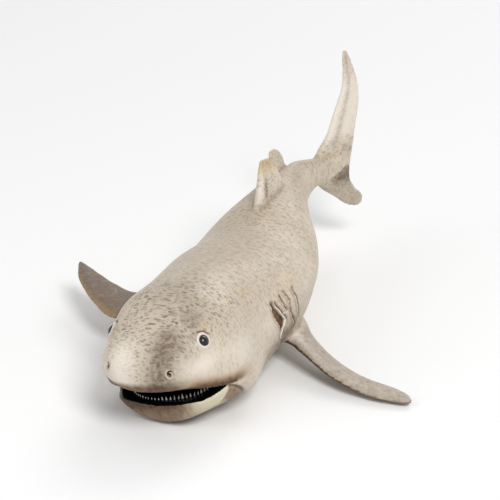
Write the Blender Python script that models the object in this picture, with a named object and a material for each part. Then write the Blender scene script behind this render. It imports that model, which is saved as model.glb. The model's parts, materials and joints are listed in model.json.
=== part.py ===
"""A moulded shark figurine with a wide open mouth, as one closed solid.

Sizes are in millimetres and become metres when a mesh is made. Most of the shark is laid out in
body coordinates: `along` runs from the snout tip down the middle line of the body, `out` is
toward the shark's left side and `up` is the height above the belly line. The finished body leans
a little onto its right side, because its left pectoral fin lies along the floor.

The part's own frame has its origin in the middle of the small flat under the belly, +Z up, the
snout toward -Y and the shark's left side toward +X.
"""

import math
from dataclasses import dataclass

import bmesh
import bpy
import numpy as np
from mathutils import Matrix, Vector

MM = 0.001

# Skin colour and surface of the moulded plastic
SKIN_COLOUR = (0.50, 0.43, 0.34, 1.0)
SKIN_ROUGHNESS = 0.45

# Pose of the body, lengths along the middle line and angles in degrees
HEAD_TURN = 8.4
HEAD_TURN_LENGTH = 50.0
TAIL_TURN = 36.0
TAIL_TURN_START = 118.0
TAIL_TURN_END = 137.0
LEAN = 5.2

# Where the floor meets the belly
FLAT_ALONG = 44.0
FLAT_OUT = -3.7
BELLY_CUT = 0.35

# Rounded snout
SNOUT_ROUND = 10.0
SNOUT_POWER = 2.6
NOSE_MESH_LENGTH = 3.5

# The lower jaw sits a little to the right of the skull
JAW_SHIFT = -0.9
JAW_SHIFT_END = 24.0
JAW_SHIFT_RUN = 12.0

# Mesh fineness
BODY_SIDES = 44
SNOUT_RINGS = 9
BODY_RINGS = 46
MIDDLE_LINE_STEPS = 900
SHARP_ANGLE = 35.0

# Mouth: the line of each lip in the side view, as (along, up), from the front to the corner
UPPER_LIP = ((1.5, 13.2), (5.0, 13.1), (10.0, 11.8), (14.0, 10.5), (18.2, 9.3))
LOWER_LIP = ((8.6, 7.8), (12.8, 8.0), (16.0, 8.6), (18.2, 9.1))
MOUTH_TWIST = 0.09
MOUTH_REACH = 24.0
MOUTH_FRONT_ALONG = -6.0
MOUTH_FRONT_UP = (13.4, 3.5)
LOWER_LIP_SLOPE_RUN = 1.3
LOWER_LIP_SLOPE_DROP = 0.9
GULLET_ALONG = 19.0
GULLET_UP = 8.8
GULLET_LENGTH = 18.4
GULLET_WIDTH = 23.0
GULLET_HEIGHT = 9.2

# Teeth of the lower jaw
TOOTH_COUNT = 19
TOOTH_HEIGHT = 0.9
TOOTH_WIDTH = 0.7
TOOTH_SET_BACK = 0.45
TOOTH_ROW_SPREAD = 74.0

# Eyes and nostrils, placed on the skin by (along, angle), with angle 0 at the side and 90 on top
EYE_ALONG = 12.5
EYE_ANGLE = 37.0
EYE_RADIUS = 2.2
EYE_SUNK = 1.0
LID_RADIUS = 1.95
LID_THICKNESS = 0.9
NOSTRIL_ALONG = 1.9
NOSTRIL_ANGLE = 22.0
NOSTRIL_RADIUS = 0.8
NOSTRIL_RAISED = 0.16

# Gill slits: how far the upper and the lower end of each lies before SHOULDER_ALONG, and the angles
# of those ends. The right fin sits higher on the body, so the right slits stop above its root.
GILL_TOP_BEFORE = (16.6, 14.0, 10.4, 7.0, 2.2)
GILL_FOOT_BEFORE = (11.8, 8.6, 6.0, 3.0, -0.4)
GILL_TOP_ANGLE = 25.0
GILL_FOOT_ANGLE_LEFT = -13.0
GILL_FOOT_ANGLE_RIGHT = 2.0
GILL_DEPTH = 0.8
GILL_SLOPE = 2.0
GILL_FLAP_RISE = 0.15
GILL_CLEARANCE = 0.5
GILL_STEPS = 7


@dataclass(frozen=True)
class Section:
    """One cross section of the body.

    `along` is its place from the snout tip, `half_width` half of its width, `top` and `bottom` the
    heights of the back and the belly, `widest` the height where it is widest. The two powers shape
    its upper and lower half: 2 is an ellipse and more is boxier.
    """

    along: float
    half_width: float
    top: float
    bottom: float
    widest: float
    upper_power: float
    lower_power: float


@dataclass(frozen=True)
class Blade:
    """One cross section of a fin: its leading point, its trailing point and its thickness."""

    lead: tuple
    trail: tuple
    thickness: float


SECTIONS = (
    Section(0.0, 12.5, 24.0, 13.0, 17.5, 2.2, 1.8),
    Section(4.0, 13.0, 25.8, 11.0, 17.3, 2.2, 1.7),
    Section(8.4, 14.1, 27.2, 5.0, 16.8, 2.3, 2.0),
    Section(10.5, 14.8, 28.0, 1.5, 16.2, 2.45, 2.1),
    Section(13.0, 15.6, 29.0, 0.5, 15.5, 2.5, 2.15),
    Section(18.0, 17.1, 31.0, 0.4, 14.0, 2.5, 2.25),
    Section(24.0, 18.4, 32.5, 0.3, 12.5, 2.45, 2.3),
    Section(34.0, 18.4, 32.8, 0.1, 11.5, 2.2, 2.35),
    Section(48.0, 19.4, 31.4, 0.0, 13.0, 2.1, 2.15),
    Section(62.0, 20.8, 29.6, 0.0, 14.5, 1.88, 2.1),
    Section(77.0, 19.4, 28.4, 3.0, 16.0, 1.58, 2.0),
    Section(91.0, 15.5, 30.6, 7.1, 17.5, 1.88, 2.0),
    Section(105.0, 9.3, 32.0, 12.0, 19.0, 2.0, 2.0),
    Section(119.0, 4.3, 31.3, 17.0, 21.0, 2.0, 2.0),
    Section(134.0, 2.7, 28.3, 20.4, 24.0, 2.0, 2.0),
    Section(139.0, 1.9, 28.1, 20.8, 24.6, 2.0, 2.0),
    Section(143.0, 1.0, 27.4, 22.2, 24.8, 2.0, 2.0),
)

# Pectoral fins, in floor coordinates from the middle line beside SHOULDER_ALONG:
# (out, back, up) of the leading point, the same of the trailing point, thickness
SHOULDER_ALONG = 60.0
LEFT_PECTORAL = (
    Blade((13.0, -10.5, 8.8), (13.0, 9.5, 8.0), 5.4),
    Blade((17.4, -8.2, 7.6), (17.0, 7.5, 6.8), 3.9),
    Blade((22.2, -11.1, 6.6), (21.2, 1.6, 5.2), 2.9),
    Blade((32.5, -17.6, 3.8), (33.2, -8.1, 2.3), 2.3),
    Blade((38.7, -19.9, 2.5), (41.3, -12.3, 1.7), 2.0),
    Blade((46.8, -21.3, 1.6), (48.3, -14.0, 1.3), 1.7),
    Blade((52.5, -21.1, 1.3), (53.0, -16.8, 1.2), 1.4),
    Blade((54.4, -20.3, 1.2), (54.5, -19.3, 1.2), 0.8),
)
RIGHT_PECTORAL = (
    Blade((-13.0, -9.5, 9.2), (-13.0, 8.0, 9.2), 5.4),
    Blade((-19.0, -11.0, 9.0), (-19.0, 6.0, 9.0), 3.9),
    Blade((-25.0, -12.4, 9.0), (-25.0, 5.2, 8.6), 2.9),
    Blade((-31.6, -11.5, 8.8), (-31.2, 5.2, 8.6), 2.4),
    Blade((-38.6, -6.0, 9.2), (-38.3, 8.1, 9.0), 2.0),
    Blade((-44.2, 0.4, 9.6), (-44.8, 12.1, 9.6), 1.7),
    Blade((-49.6, 8.4, 10.0), (-50.0, 15.4, 10.2), 1.4),
    Blade((-52.2, 15.0, 10.4), (-52.3, 16.6, 10.4), 0.8),
)

# Fins of the back, in body coordinates (along, out, up), with the foot inside the body
FIRST_DORSAL = (
    Blade((82.6, 0.0, 26.0), (103.4, 3.0, 26.0), 5.4),
    Blade((85.3, 0.0, 30.5), (102.4, 2.8, 30.0), 3.7),
    Blade((89.4, -0.1, 36.0), (100.6, 2.3, 35.5), 2.4),
    Blade((91.6, -0.1, 39.9), (99.3, 1.2, 38.8), 1.7),
    Blade((93.2, -0.1, 41.5), (97.7, 0.7, 40.8), 0.9),
)
SECOND_DORSAL = (
    Blade((104.3, -1.0, 26.0), (118.0, -1.0, 26.0), 3.0),
    Blade((105.2, -1.5, 31.0), (117.4, -1.5, 30.2), 2.1),
    Blade((106.3, -1.9, 35.6), (116.3, -1.9, 34.6), 1.7),
    Blade((107.2, -2.4, 38.2), (113.8, -2.4, 37.5), 1.3),
    Blade((108.3, -2.6, 38.8), (111.6, -2.6, 38.5), 0.8),
)

# Pelvic fins under the belly, in body coordinates for the left one
PELVIC = (
    Blade((84.0, 5.0, 9.0), (95.0, 4.5, 10.0), 3.0),
    Blade((86.0, 7.6, 6.2), (96.0, 6.6, 7.4), 2.0),
    Blade((90.0, 9.6, 3.9), (98.0, 8.4, 5.2), 1.4),
    Blade((94.5, 11.0, 2.7), (98.8, 9.8, 3.6), 0.8),
)

# Tail fin, in its own plane from the middle of the tail root: (back, up)
TAIL_ROOT_ALONG = 134.0
TAIL_ROOT_UP = 25.0
TAIL_PLANE_ALONG = 137.0
TAIL_PLANE_TILT = 8.0
TAIL_FIN = (
    Blade((10.7, -14.7), (13.0, -14.0), 0.7),
    Blade((7.8, -13.6), (13.5, -12.2), 1.6),
    Blade((3.5, -9.9), (11.3, -9.1), 2.5),
    Blade((-1.3, -5.6), (9.8, -5.4), 3.5),
    Blade((-4.0, 0.0), (11.0, -0.6), 4.4),
    Blade((0.0, 5.0), (13.0, 4.2), 3.5),
    Blade((4.4, 9.3), (14.9, 9.3), 2.7),
    Blade((7.6, 14.3), (17.1, 14.5), 2.3),
    Blade((10.3, 18.3), (18.1, 18.6), 2.0),
    Blade((12.6, 22.3), (18.3, 22.6), 1.7),
    Blade((13.6, 26.7), (17.6, 27.0), 1.4),
    Blade((14.1, 30.2), (16.7, 30.4), 1.2),
    Blade((14.5, 32.2), (15.8, 32.2), 0.7),
)


def ease(value):
    """Rises smoothly from 0 to 1 as the value goes from 0 to 1."""
    value = np.clip(value, 0.0, 1.0)
    return value * value * (3.0 - 2.0 * value)


def smooth_curve(known, values, wanted):
    """Reads a smooth curve through known points, without overshoot between them.

    Each slope is the harmonic mean of its two neighbours' slopes, and zero at a peak or a dip.
    """
    known = np.asarray(known, float)
    values = np.asarray(values, float)
    wanted = np.clip(np.asarray(wanted, float), known[0], known[-1])
    step = np.diff(known)
    rise = np.diff(values) / step
    slope = np.zeros_like(values)
    same_way = rise[:-1] * rise[1:] > 0.0
    near = 2.0 * step[1:] + step[:-1]
    far = step[1:] + 2.0 * step[:-1]
    safe_before = np.where(same_way, rise[:-1], 1.0)
    safe_after = np.where(same_way, rise[1:], 1.0)
    mean = (near + far) / (near / safe_before + far / safe_after)
    slope[1:-1] = np.where(same_way, mean, 0.0)
    slope[0] = rise[0]
    slope[-1] = rise[-1]
    index = np.clip(np.searchsorted(known, wanted, side="right") - 1, 0, len(step) - 1)
    run = step[index]
    part = (wanted - known[index]) / run
    from_left = (1.0 + 2.0 * part) * (1.0 - part) ** 2 * values[index]
    from_left = from_left + part * (1.0 - part) ** 2 * run * slope[index]
    from_right = part ** 2 * (3.0 - 2.0 * part) * values[index + 1]
    from_right = from_right + part ** 2 * (part - 1.0) * run * slope[index + 1]
    return from_left + from_right


def body_length():
    """The length of the middle line, from the snout tip to the end inside the tail fin."""
    return SECTIONS[-1].along


def heading(along):
    """The direction of the middle line in the plan, in radians from +Y toward +X."""
    head = HEAD_TURN * (1.0 - ease(along / HEAD_TURN_LENGTH))
    tail = TAIL_TURN * ease((along - TAIL_TURN_START) / (TAIL_TURN_END - TAIL_TURN_START))
    return np.radians(head + tail)


def middle_line(along):
    """The plan position of points of the middle line, from the point above the belly flat."""
    steps = np.linspace(0.0, body_length(), MIDDLE_LINE_STEPS)
    turn = heading(steps)
    pace = steps[1] - steps[0]
    side = np.concatenate([[0.0], np.cumsum(np.sin((turn[1:] + turn[:-1]) / 2.0)) * pace])
    back = np.concatenate([[0.0], np.cumsum(np.cos((turn[1:] + turn[:-1]) / 2.0)) * pace])
    side = side - np.interp(FLAT_ALONG, steps, side)
    back = back - np.interp(FLAT_ALONG, steps, back)
    return np.interp(along, steps, side), np.interp(along, steps, back)


def lean_over(points):
    """Leans body points onto the right side and sets the belly flat on the floor."""
    angle = math.radians(LEAN)
    points = np.asarray(points, float)
    x = points[..., 0] * math.cos(angle) - points[..., 2] * math.sin(angle) - FLAT_OUT
    z = points[..., 0] * math.sin(angle) + points[..., 2] * math.cos(angle) - BELLY_CUT
    return np.stack([x, points[..., 1], z], axis=-1)


def place(along, out, up):
    """Turns body coordinates into the part's frame."""
    along, out, up = np.broadcast_arrays(*(np.asarray(v, float) for v in (along, out, up)))
    turn = heading(along)
    side, back = middle_line(along)
    x = side + out * np.cos(turn)
    y = back - out * np.sin(turn)
    return lean_over(np.stack([x, y, up], axis=-1))


def section_column(name):
    """All the values of one size of the body's sections."""
    return [getattr(section, name) for section in SECTIONS]


def section_at(along):
    """Reads the sizes of the body at any place along it."""
    names = ("half_width", "top", "bottom", "widest", "upper_power", "lower_power")
    known = section_column("along")
    return [smooth_curve(known, section_column(name), along) for name in names]


def skin(along, degrees):
    """Points of the skin, by the place along the body and the angle round it."""
    along, degrees = np.broadcast_arrays(np.asarray(along, float), np.asarray(degrees, float))
    half_width, top, bottom, widest, upper, lower = section_at(along)
    left = np.clip(1.0 - along / SNOUT_ROUND, 0.0, 1.0)
    close = (1.0 - left ** SNOUT_POWER) ** (1.0 / SNOUT_POWER)
    angle = np.radians(degrees)
    across = np.cos(angle)
    rise = np.sin(angle)
    power = np.where(rise > 0.0, upper, lower)
    reach = np.where(rise > 0.0, top - widest, widest - bottom)
    out = half_width * close * np.sign(across) * np.abs(across) ** (2.0 / power)
    up = widest + reach * close * np.sign(rise) * np.abs(rise) ** (2.0 / power)
    jaw = ease((JAW_SHIFT_END - along) / JAW_SHIFT_RUN) * ease((widest - up) / (widest - bottom))
    return place(along, out + JAW_SHIFT * jaw, up)


def skin_frame(along, degrees):
    """A point of the skin, the way toward the tail on it, and the way out of it."""
    point = skin(along, degrees)
    near = body_length() / 700.0
    toward_tail = skin(along + near, degrees) - skin(along - near, degrees)
    toward_tail = toward_tail / np.linalg.norm(toward_tail)
    around = skin(along, degrees + 1.0) - skin(along, degrees - 1.0)
    outward = np.cross(around, toward_tail)
    outward = outward / np.linalg.norm(outward)
    middle = place(along, 0.0, section_at(np.asarray(along, float))[3])
    if np.dot(outward, point - middle) < 0.0:
        outward = -outward
    return point, toward_tail, outward


def finish(name, shape, collection):
    """Turns a working shape, in millimetres, into a mesh object of the given collection."""
    bmesh.ops.scale(shape, vec=(MM, MM, MM), verts=shape.verts)
    bmesh.ops.recalc_face_normals(shape, faces=shape.faces)
    mesh = bpy.data.meshes.new(name)
    shape.to_mesh(mesh)
    shape.free()
    mesh.shade_smooth()
    mesh.set_sharp_from_angle(angle=math.radians(SHARP_ANGLE))
    item = bpy.data.objects.new(name, mesh)
    collection.objects.link(item)
    return item


def solid_from_rings(name, rings, collection):
    """Makes a closed solid from rings of points. A ring of one point is a tip."""
    shape = bmesh.new()
    loops = []
    for ring in rings:
        loops.append([shape.verts.new([float(v) for v in point]) for point in ring])
    for before, after in zip(loops[:-1], loops[1:]):
        count = max(len(before), len(after))
        for k in range(count):
            corners = [before[k % len(before)], before[(k + 1) % len(before)]]
            corners += [after[(k + 1) % len(after)], after[k % len(after)]]
            kept = []
            for corner in corners:
                if corner not in kept:
                    kept.append(corner)
            shape.faces.new(kept)
    for loop in (loops[0], loops[-1]):
        if len(loop) > 2:
            shape.faces.new(loop)
    return finish(name, shape, collection)


def body_rings():
    """The rings of the body, closer together round the snout."""
    degrees = np.arange(BODY_SIDES) * 360.0 / BODY_SIDES
    nose_end = NOSE_MESH_LENGTH
    nose = nose_end * np.linspace(0.0, 1.0, SNOUT_RINGS, endpoint=False)[1:] ** 2
    part = np.linspace(0.0, 1.0, BODY_RINGS)
    rest = nose_end + (body_length() - nose_end) * (0.35 * part ** 2 + 0.65 * part)
    rings = [[skin(0.0, 0.0)]]
    for along in np.concatenate([nose, rest]):
        rings.append(skin(along, degrees))
    return rings


def fin_rings(lead, trail, thickness, rings=14, half_sides=6):
    """The rings of a fin, each a drop shape from the leading to the trailing point."""
    lead = np.asarray(lead, float)
    trail = np.asarray(trail, float)
    middle = (lead + trail) / 2.0
    pace = np.linalg.norm(np.diff(middle, axis=0), axis=1)
    known = np.concatenate([[0.0], np.cumsum(pace)])
    wanted = known[-1] * np.linspace(0.0, 1.0, rings)
    wanted = np.unique(np.concatenate([wanted, [known[-2]]]))
    lead = np.stack([smooth_curve(known, lead[:, k], wanted) for k in range(3)], axis=1)
    trail = np.stack([smooth_curve(known, trail[:, k], wanted) for k in range(3)], axis=1)
    thick = smooth_curve(known, thickness, wanted)
    chord = trail - lead
    span = np.gradient((lead + trail) / 2.0, axis=0)
    normal = np.cross(span, chord)
    normal = normal / np.linalg.norm(normal, axis=1, keepdims=True)
    turn = np.linspace(0.0, 2.0 * math.pi, 2 * half_sides, endpoint=False)
    share = (1.0 - np.cos(turn)) / 2.0
    swell = np.sin(turn) * (1.0 - 0.35 * share)
    result = []
    for k in range(len(wanted)):
        ring = lead[k] + np.outer(share, chord[k]) + np.outer(swell, normal[k]) * thick[k] / 2.0
        result.append(ring)
    return result


def pectoral_rings(blades):
    """A pectoral fin, from its rows in floor coordinates beside the shoulder."""
    side, back = middle_line(SHOULDER_ALONG)
    move = np.array([float(side) - FLAT_OUT, float(back), 0.0])
    lead = [np.array(blade.lead) + move for blade in blades]
    trail = [np.array(blade.trail) + move for blade in blades]
    return fin_rings(lead, trail, [blade.thickness for blade in blades], rings=18)


def back_fin_rings(blades, mirror=1.0):
    """A fin given in body coordinates, or its mirror image on the other side."""
    lead = [place(b.lead[0], b.lead[1] * mirror, b.lead[2]) for b in blades]
    trail = [place(b.trail[0], b.trail[1] * mirror, b.trail[2]) for b in blades]
    return fin_rings(lead, trail, [blade.thickness for blade in blades], rings=9, half_sides=5)


def tail_rings():
    """The tail fin, both lobes in one, in the tilted upright plane of the tail root."""
    turn = float(heading(TAIL_PLANE_ALONG))
    tilt = math.radians(TAIL_PLANE_TILT)
    side, back = middle_line(TAIL_ROOT_ALONG)
    root = np.array([float(side), float(back), TAIL_ROOT_UP])
    rearward = np.array([math.sin(turn), math.cos(turn), 0.0])
    sideways = np.array([math.cos(turn), -math.sin(turn), 0.0])
    upward = math.cos(tilt) * np.array([0.0, 0.0, 1.0]) - math.sin(tilt) * sideways
    lead = [lean_over(root + b.lead[0] * rearward + b.lead[1] * upward) for b in TAIL_FIN]
    trail = [lean_over(root + b.trail[0] * rearward + b.trail[1] * upward) for b in TAIL_FIN]
    return fin_rings(lead, trail, [blade.thickness for blade in TAIL_FIN], rings=22)


def ball(name, centre, radius, collection, segments=14):
    """A round ball."""
    shape = bmesh.new()
    bmesh.ops.create_uvsphere(
        shape,
        u_segments=segments,
        v_segments=segments * 2 // 3,
        radius=radius,
        matrix=Matrix.Translation([float(v) for v in centre]),
    )
    return finish(name, shape, collection)


def eye_solids(mirror, collection):
    """An eyeball and the ring of lid round it, on one side of the head."""
    degrees = EYE_ANGLE if mirror > 0.0 else 180.0 - EYE_ANGLE
    side = "left" if mirror > 0.0 else "right"
    point, _, outward = skin_frame(EYE_ALONG, degrees)
    eyeball = ball(f"eyeball_{side}", point - outward * EYE_SUNK, EYE_RADIUS, collection)
    bpy.ops.mesh.primitive_torus_add(
        major_segments=18,
        minor_segments=8,
        major_radius=LID_RADIUS,
        minor_radius=LID_THICKNESS / 2.0,
    )
    torus = bpy.context.object
    shape = bmesh.new()
    shape.from_mesh(torus.data)
    bpy.data.objects.remove(torus, do_unlink=True)
    facing = Vector([float(v) for v in outward]).to_track_quat("Z", "Y").to_matrix().to_4x4()
    move = Matrix.Translation([float(v) for v in point]) @ facing
    bmesh.ops.transform(shape, matrix=move, verts=shape.verts)
    return [eyeball, finish(f"lid_{side}", shape, collection)]


def mouth_cutter(collection):
    """The gap between the lips: a slab between the two lip lines, open to the front."""
    front_top = [(MOUTH_FRONT_ALONG, MOUTH_FRONT_UP[0])]
    below = [
        (LOWER_LIP[0][0] - LOWER_LIP_SLOPE_RUN, LOWER_LIP[0][1] - LOWER_LIP_SLOPE_DROP),
        (MOUTH_FRONT_ALONG, MOUTH_FRONT_UP[1]),
    ]
    outline = front_top + list(UPPER_LIP) + list(reversed(LOWER_LIP)) + below
    ends = []
    for out in (-MOUTH_REACH, 0.0, MOUTH_REACH):
        ring = [head_point(along, out, up + MOUTH_TWIST * out) for along, up in outline]
        ends.append(ring)
    return solid_from_rings("cut_mouth", ends, collection)


def head_point(along, out, up):
    """A point of the head, whose straight local frame is that of the lower lip's front."""
    base = LOWER_LIP[0][0]
    turn = float(heading(base))
    side, back = middle_line(base)
    x = float(side) + math.sin(turn) * (along - base) + math.cos(turn) * out
    y = float(back) + math.cos(turn) * (along - base) - math.sin(turn) * out
    return lean_over(np.array([x, y, up]))


def gullet_cutter(collection):
    """The hollow behind the lips, shaped like a flat egg."""
    shape = bmesh.new()
    bmesh.ops.create_uvsphere(shape, u_segments=24, v_segments=12, radius=0.5)
    for vertex in shape.verts:
        along = GULLET_ALONG + vertex.co.x * GULLET_LENGTH
        out = vertex.co.y * GULLET_WIDTH
        up = GULLET_UP + vertex.co.z * GULLET_HEIGHT + MOUTH_TWIST * out
        vertex.co = [float(v) for v in head_point(along, out, up)]
    return finish("cut_gullet", shape, collection)


def tooth_place(share):
    """A place on the inner edge of the lower jaw, for share from -1 at one end to 1 at the other."""
    angle = math.radians(share * TOOTH_ROW_SPREAD)
    level = (LOWER_LIP[0][1] - GULLET_UP) / (GULLET_HEIGHT / 2.0)
    shrink = math.sqrt(1.0 - level ** 2)
    along = GULLET_ALONG - (GULLET_LENGTH / 2.0 * shrink + TOOTH_SET_BACK) * math.cos(angle)
    out = (GULLET_WIDTH / 2.0 * shrink + TOOTH_SET_BACK) * math.sin(angle)
    lip_along = [point[0] for point in LOWER_LIP]
    lip_up = [point[1] for point in LOWER_LIP]
    up = float(smooth_curve(lip_along, lip_up, along)) + MOUTH_TWIST * out
    return along, out, up


def tooth_row(collection):
    """Small pointed teeth inside the rim of the lower jaw, each set in the gum."""
    shape = bmesh.new()
    for k in range(TOOTH_COUNT):
        along, out, up = tooth_place(2.0 * (k + 0.5) / TOOTH_COUNT - 1.0)
        spot = head_point(along, out, up)
        bmesh.ops.create_cone(
            shape,
            cap_ends=True,
            segments=4,
            radius1=TOOTH_WIDTH / 2.0,
            radius2=0.0,
            depth=2.0 * TOOTH_HEIGHT,
            matrix=Matrix.Translation([float(v) for v in spot]),
        )
    return finish("teeth", shape, collection)


def nostril_cutter(mirror, collection):
    """A small round pit for a nostril."""
    degrees = NOSTRIL_ANGLE if mirror > 0.0 else 180.0 - NOSTRIL_ANGLE
    side = "left" if mirror > 0.0 else "right"
    point, _, outward = skin_frame(NOSTRIL_ALONG, degrees)
    centre = point + outward * NOSTRIL_RAISED
    return ball(f"cut_nostril_{side}", centre, NOSTRIL_RADIUS, collection, segments=10)


def gill_cutter(index, mirror, collection):
    """A gill slit: steep toward the head and sloping toward the tail, so that a flap stands out."""
    rings = []
    foot_angle = GILL_FOOT_ANGLE_LEFT if mirror > 0.0 else GILL_FOOT_ANGLE_RIGHT
    for k in range(GILL_STEPS):
        part = k / (GILL_STEPS - 1)
        before = GILL_TOP_BEFORE[index] + (GILL_FOOT_BEFORE[index] - GILL_TOP_BEFORE[index]) * part
        along = SHOULDER_ALONG - before
        degrees = GILL_TOP_ANGLE + (foot_angle - GILL_TOP_ANGLE) * part
        if mirror < 0.0:
            degrees = 180.0 - degrees
        point, rearward, outward = skin_frame(along, degrees)
        size = 0.15 + 0.85 * math.sqrt(math.sin(math.pi * part))
        ring = [
            point + outward * GILL_CLEARANCE,
            point - outward * GILL_DEPTH * size,
            point + rearward * GILL_SLOPE * size + outward * GILL_FLAP_RISE,
            point + rearward * GILL_SLOPE * size + outward * GILL_CLEARANCE,
        ]
        rings.append(np.array(ring))
    side = "left" if mirror > 0.0 else "right"
    return solid_from_rings(f"cut_gill_{side}_{index + 1}", rings, collection)


def floor_cutter(collection):
    """A block under the floor, which leaves the small flat on the belly."""
    reach = 4.0 * body_length()
    shape = bmesh.new()
    bmesh.ops.create_cube(shape, size=reach, matrix=Matrix.Translation((0.0, 0.0, -reach / 2.0)))
    return finish("cut_floor", shape, collection)


def skin_material():
    """The tan plastic of the figurine."""
    material = bpy.data.materials.new("painted_skin")
    material.use_nodes = True
    shader = material.node_tree.nodes["Principled BSDF"]
    shader.inputs["Base Color"].default_value = SKIN_COLOUR
    shader.inputs["Roughness"].default_value = SKIN_ROUGHNESS
    shader.inputs["Metallic"].default_value = 0.0
    return material


def combine(target, other, operation):
    """Adds a solid to the shark or cuts it away, as a modifier that stays editable."""
    modifier = target.modifiers.new(f"{operation.lower()}_{other.name}", "BOOLEAN")
    modifier.operation = operation
    modifier.solver = "EXACT"
    modifier.object = other
    other.display_type = "WIRE"
    other.hide_render = True


def build():
    """Builds the figurine."""
    for item in list(bpy.data.objects):
        bpy.data.objects.remove(item, do_unlink=True)
    main = bpy.data.collections.new("shark")
    tools = bpy.data.collections.new("shark_cutters")
    for collection in (main, tools):
        bpy.context.scene.collection.children.link(collection)

    shark = solid_from_rings("shark", body_rings(), main)
    shark.data.materials.append(skin_material())

    joined = [
        solid_from_rings("pectoral_left", pectoral_rings(LEFT_PECTORAL), tools),
        solid_from_rings("pectoral_right", pectoral_rings(RIGHT_PECTORAL), tools),
        solid_from_rings("dorsal_first", back_fin_rings(FIRST_DORSAL), tools),
        solid_from_rings("dorsal_second", back_fin_rings(SECOND_DORSAL), tools),
        solid_from_rings("pelvic_left", back_fin_rings(PELVIC), tools),
        solid_from_rings("pelvic_right", back_fin_rings(PELVIC, mirror=-1.0), tools),
        solid_from_rings("tail_fin", tail_rings(), tools),
    ]
    cuts = [mouth_cutter(tools), gullet_cutter(tools), floor_cutter(tools)]
    for mirror in (1.0, -1.0):
        joined += eye_solids(mirror, tools)
        cuts.append(nostril_cutter(mirror, tools))
        cuts += [gill_cutter(index, mirror, tools) for index in range(len(GILL_TOP_BEFORE))]

    for solid in joined:
        combine(shark, solid, "UNION")
    for solid in cuts:
        combine(shark, solid, "DIFFERENCE")
    combine(shark, tooth_row(tools), "UNION")


build()
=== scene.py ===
"""Visual model of the moulded shark figurine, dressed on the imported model.

All shapes are worked out in millimetres in the part's own frame and become metres when a mesh is
made. Three kinds of coordinates are used:

* body coordinates: `along` down the middle line from the snout tip, `out` toward the left side of
  the shark and `up` above the belly line;
* skin coordinates: `along` and an angle in degrees round the body, 0 at the left side, 90 on top;
* the part's frame: origin in the middle of the belly flat, +Z up, snout toward -Y, left side +X.
"""

import json
import logging
import math
from dataclasses import dataclass
from enum import Enum

import bmesh
import bpy
import numpy as np
from mathutils import Matrix, Vector

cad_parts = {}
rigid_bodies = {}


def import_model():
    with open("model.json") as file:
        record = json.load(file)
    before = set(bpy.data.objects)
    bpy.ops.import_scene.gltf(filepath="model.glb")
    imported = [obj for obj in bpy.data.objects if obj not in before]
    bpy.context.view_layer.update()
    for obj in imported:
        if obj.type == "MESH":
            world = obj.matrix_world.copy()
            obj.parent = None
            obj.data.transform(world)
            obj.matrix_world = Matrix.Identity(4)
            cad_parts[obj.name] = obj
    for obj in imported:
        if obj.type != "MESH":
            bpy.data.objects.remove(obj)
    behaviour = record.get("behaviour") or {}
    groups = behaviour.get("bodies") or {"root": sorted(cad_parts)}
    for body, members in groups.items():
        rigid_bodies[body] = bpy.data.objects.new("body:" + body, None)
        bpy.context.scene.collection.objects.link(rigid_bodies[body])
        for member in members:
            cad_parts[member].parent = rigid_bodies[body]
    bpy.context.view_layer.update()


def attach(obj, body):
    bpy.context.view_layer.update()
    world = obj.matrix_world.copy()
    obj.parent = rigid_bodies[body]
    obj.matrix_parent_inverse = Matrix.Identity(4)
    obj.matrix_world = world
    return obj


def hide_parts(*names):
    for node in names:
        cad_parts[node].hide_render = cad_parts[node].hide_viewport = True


LOG = logging.getLogger("shark")
MM = 0.001
FAR = 9.0  # mm, beyond any line that is painted by its distance
NODE = "shark"
BODY = "root"


class Side(Enum):
    """The two sides of the animal."""

    LEFT = 1.0
    RIGHT = -1.0


@dataclass(frozen=True)
class Pose:
    """How the body bends and lies: lengths in mm along the middle line, angles in degrees."""

    head_turn: float = 8.4
    head_turn_length: float = 50.0
    tail_turn: float = 36.0
    tail_turn_start: float = 118.0
    tail_turn_end: float = 137.0
    lean: float = 5.2
    flat_along: float = 44.0
    flat_out: float = -3.7
    belly_cut: float = 0.35
    snout_round: float = 10.0
    snout_power: float = 2.6
    shoulder_along: float = 60.0
    jaw_shift: float = -0.9
    jaw_shift_end: float = 24.0
    jaw_shift_run: float = 12.0
    steps: int = 900


# Cross sections of the body: along, half width, top, bottom, widest height, then the powers of
# the curve above and below the widest line
SECTIONS = np.array([
    (0.0, 12.5, 24.0, 13.0, 17.5, 2.2, 1.8),
    (4.0, 13.0, 25.8, 11.0, 17.3, 2.2, 1.7),
    (8.4, 14.1, 27.2, 5.0, 16.8, 2.3, 2.0),
    (10.5, 14.8, 28.0, 1.5, 16.2, 2.45, 2.1),
    (13.0, 15.6, 29.0, 0.5, 15.5, 2.5, 2.15),
    (18.0, 17.1, 31.0, 0.4, 14.0, 2.5, 2.25),
    (24.0, 18.4, 32.5, 0.3, 12.5, 2.45, 2.3),
    (34.0, 18.4, 32.8, 0.1, 11.5, 2.2, 2.35),
    (48.0, 19.4, 31.4, 0.0, 13.0, 2.1, 2.15),
    (62.0, 20.8, 29.6, 0.0, 14.5, 1.88, 2.1),
    (77.0, 19.4, 28.4, 3.0, 16.0, 1.58, 2.0),
    (91.0, 15.5, 30.6, 7.1, 17.5, 1.88, 2.0),
    (105.0, 9.3, 32.0, 12.0, 19.0, 2.0, 2.0),
    (119.0, 4.3, 31.3, 17.0, 21.0, 2.0, 2.0),
    (134.0, 2.7, 28.3, 20.4, 24.0, 2.0, 2.0),
    (139.0, 1.9, 28.1, 20.8, 24.6, 2.0, 2.0),
    (143.0, 1.0, 27.4, 22.2, 24.8, 2.0, 2.0),
])

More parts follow.
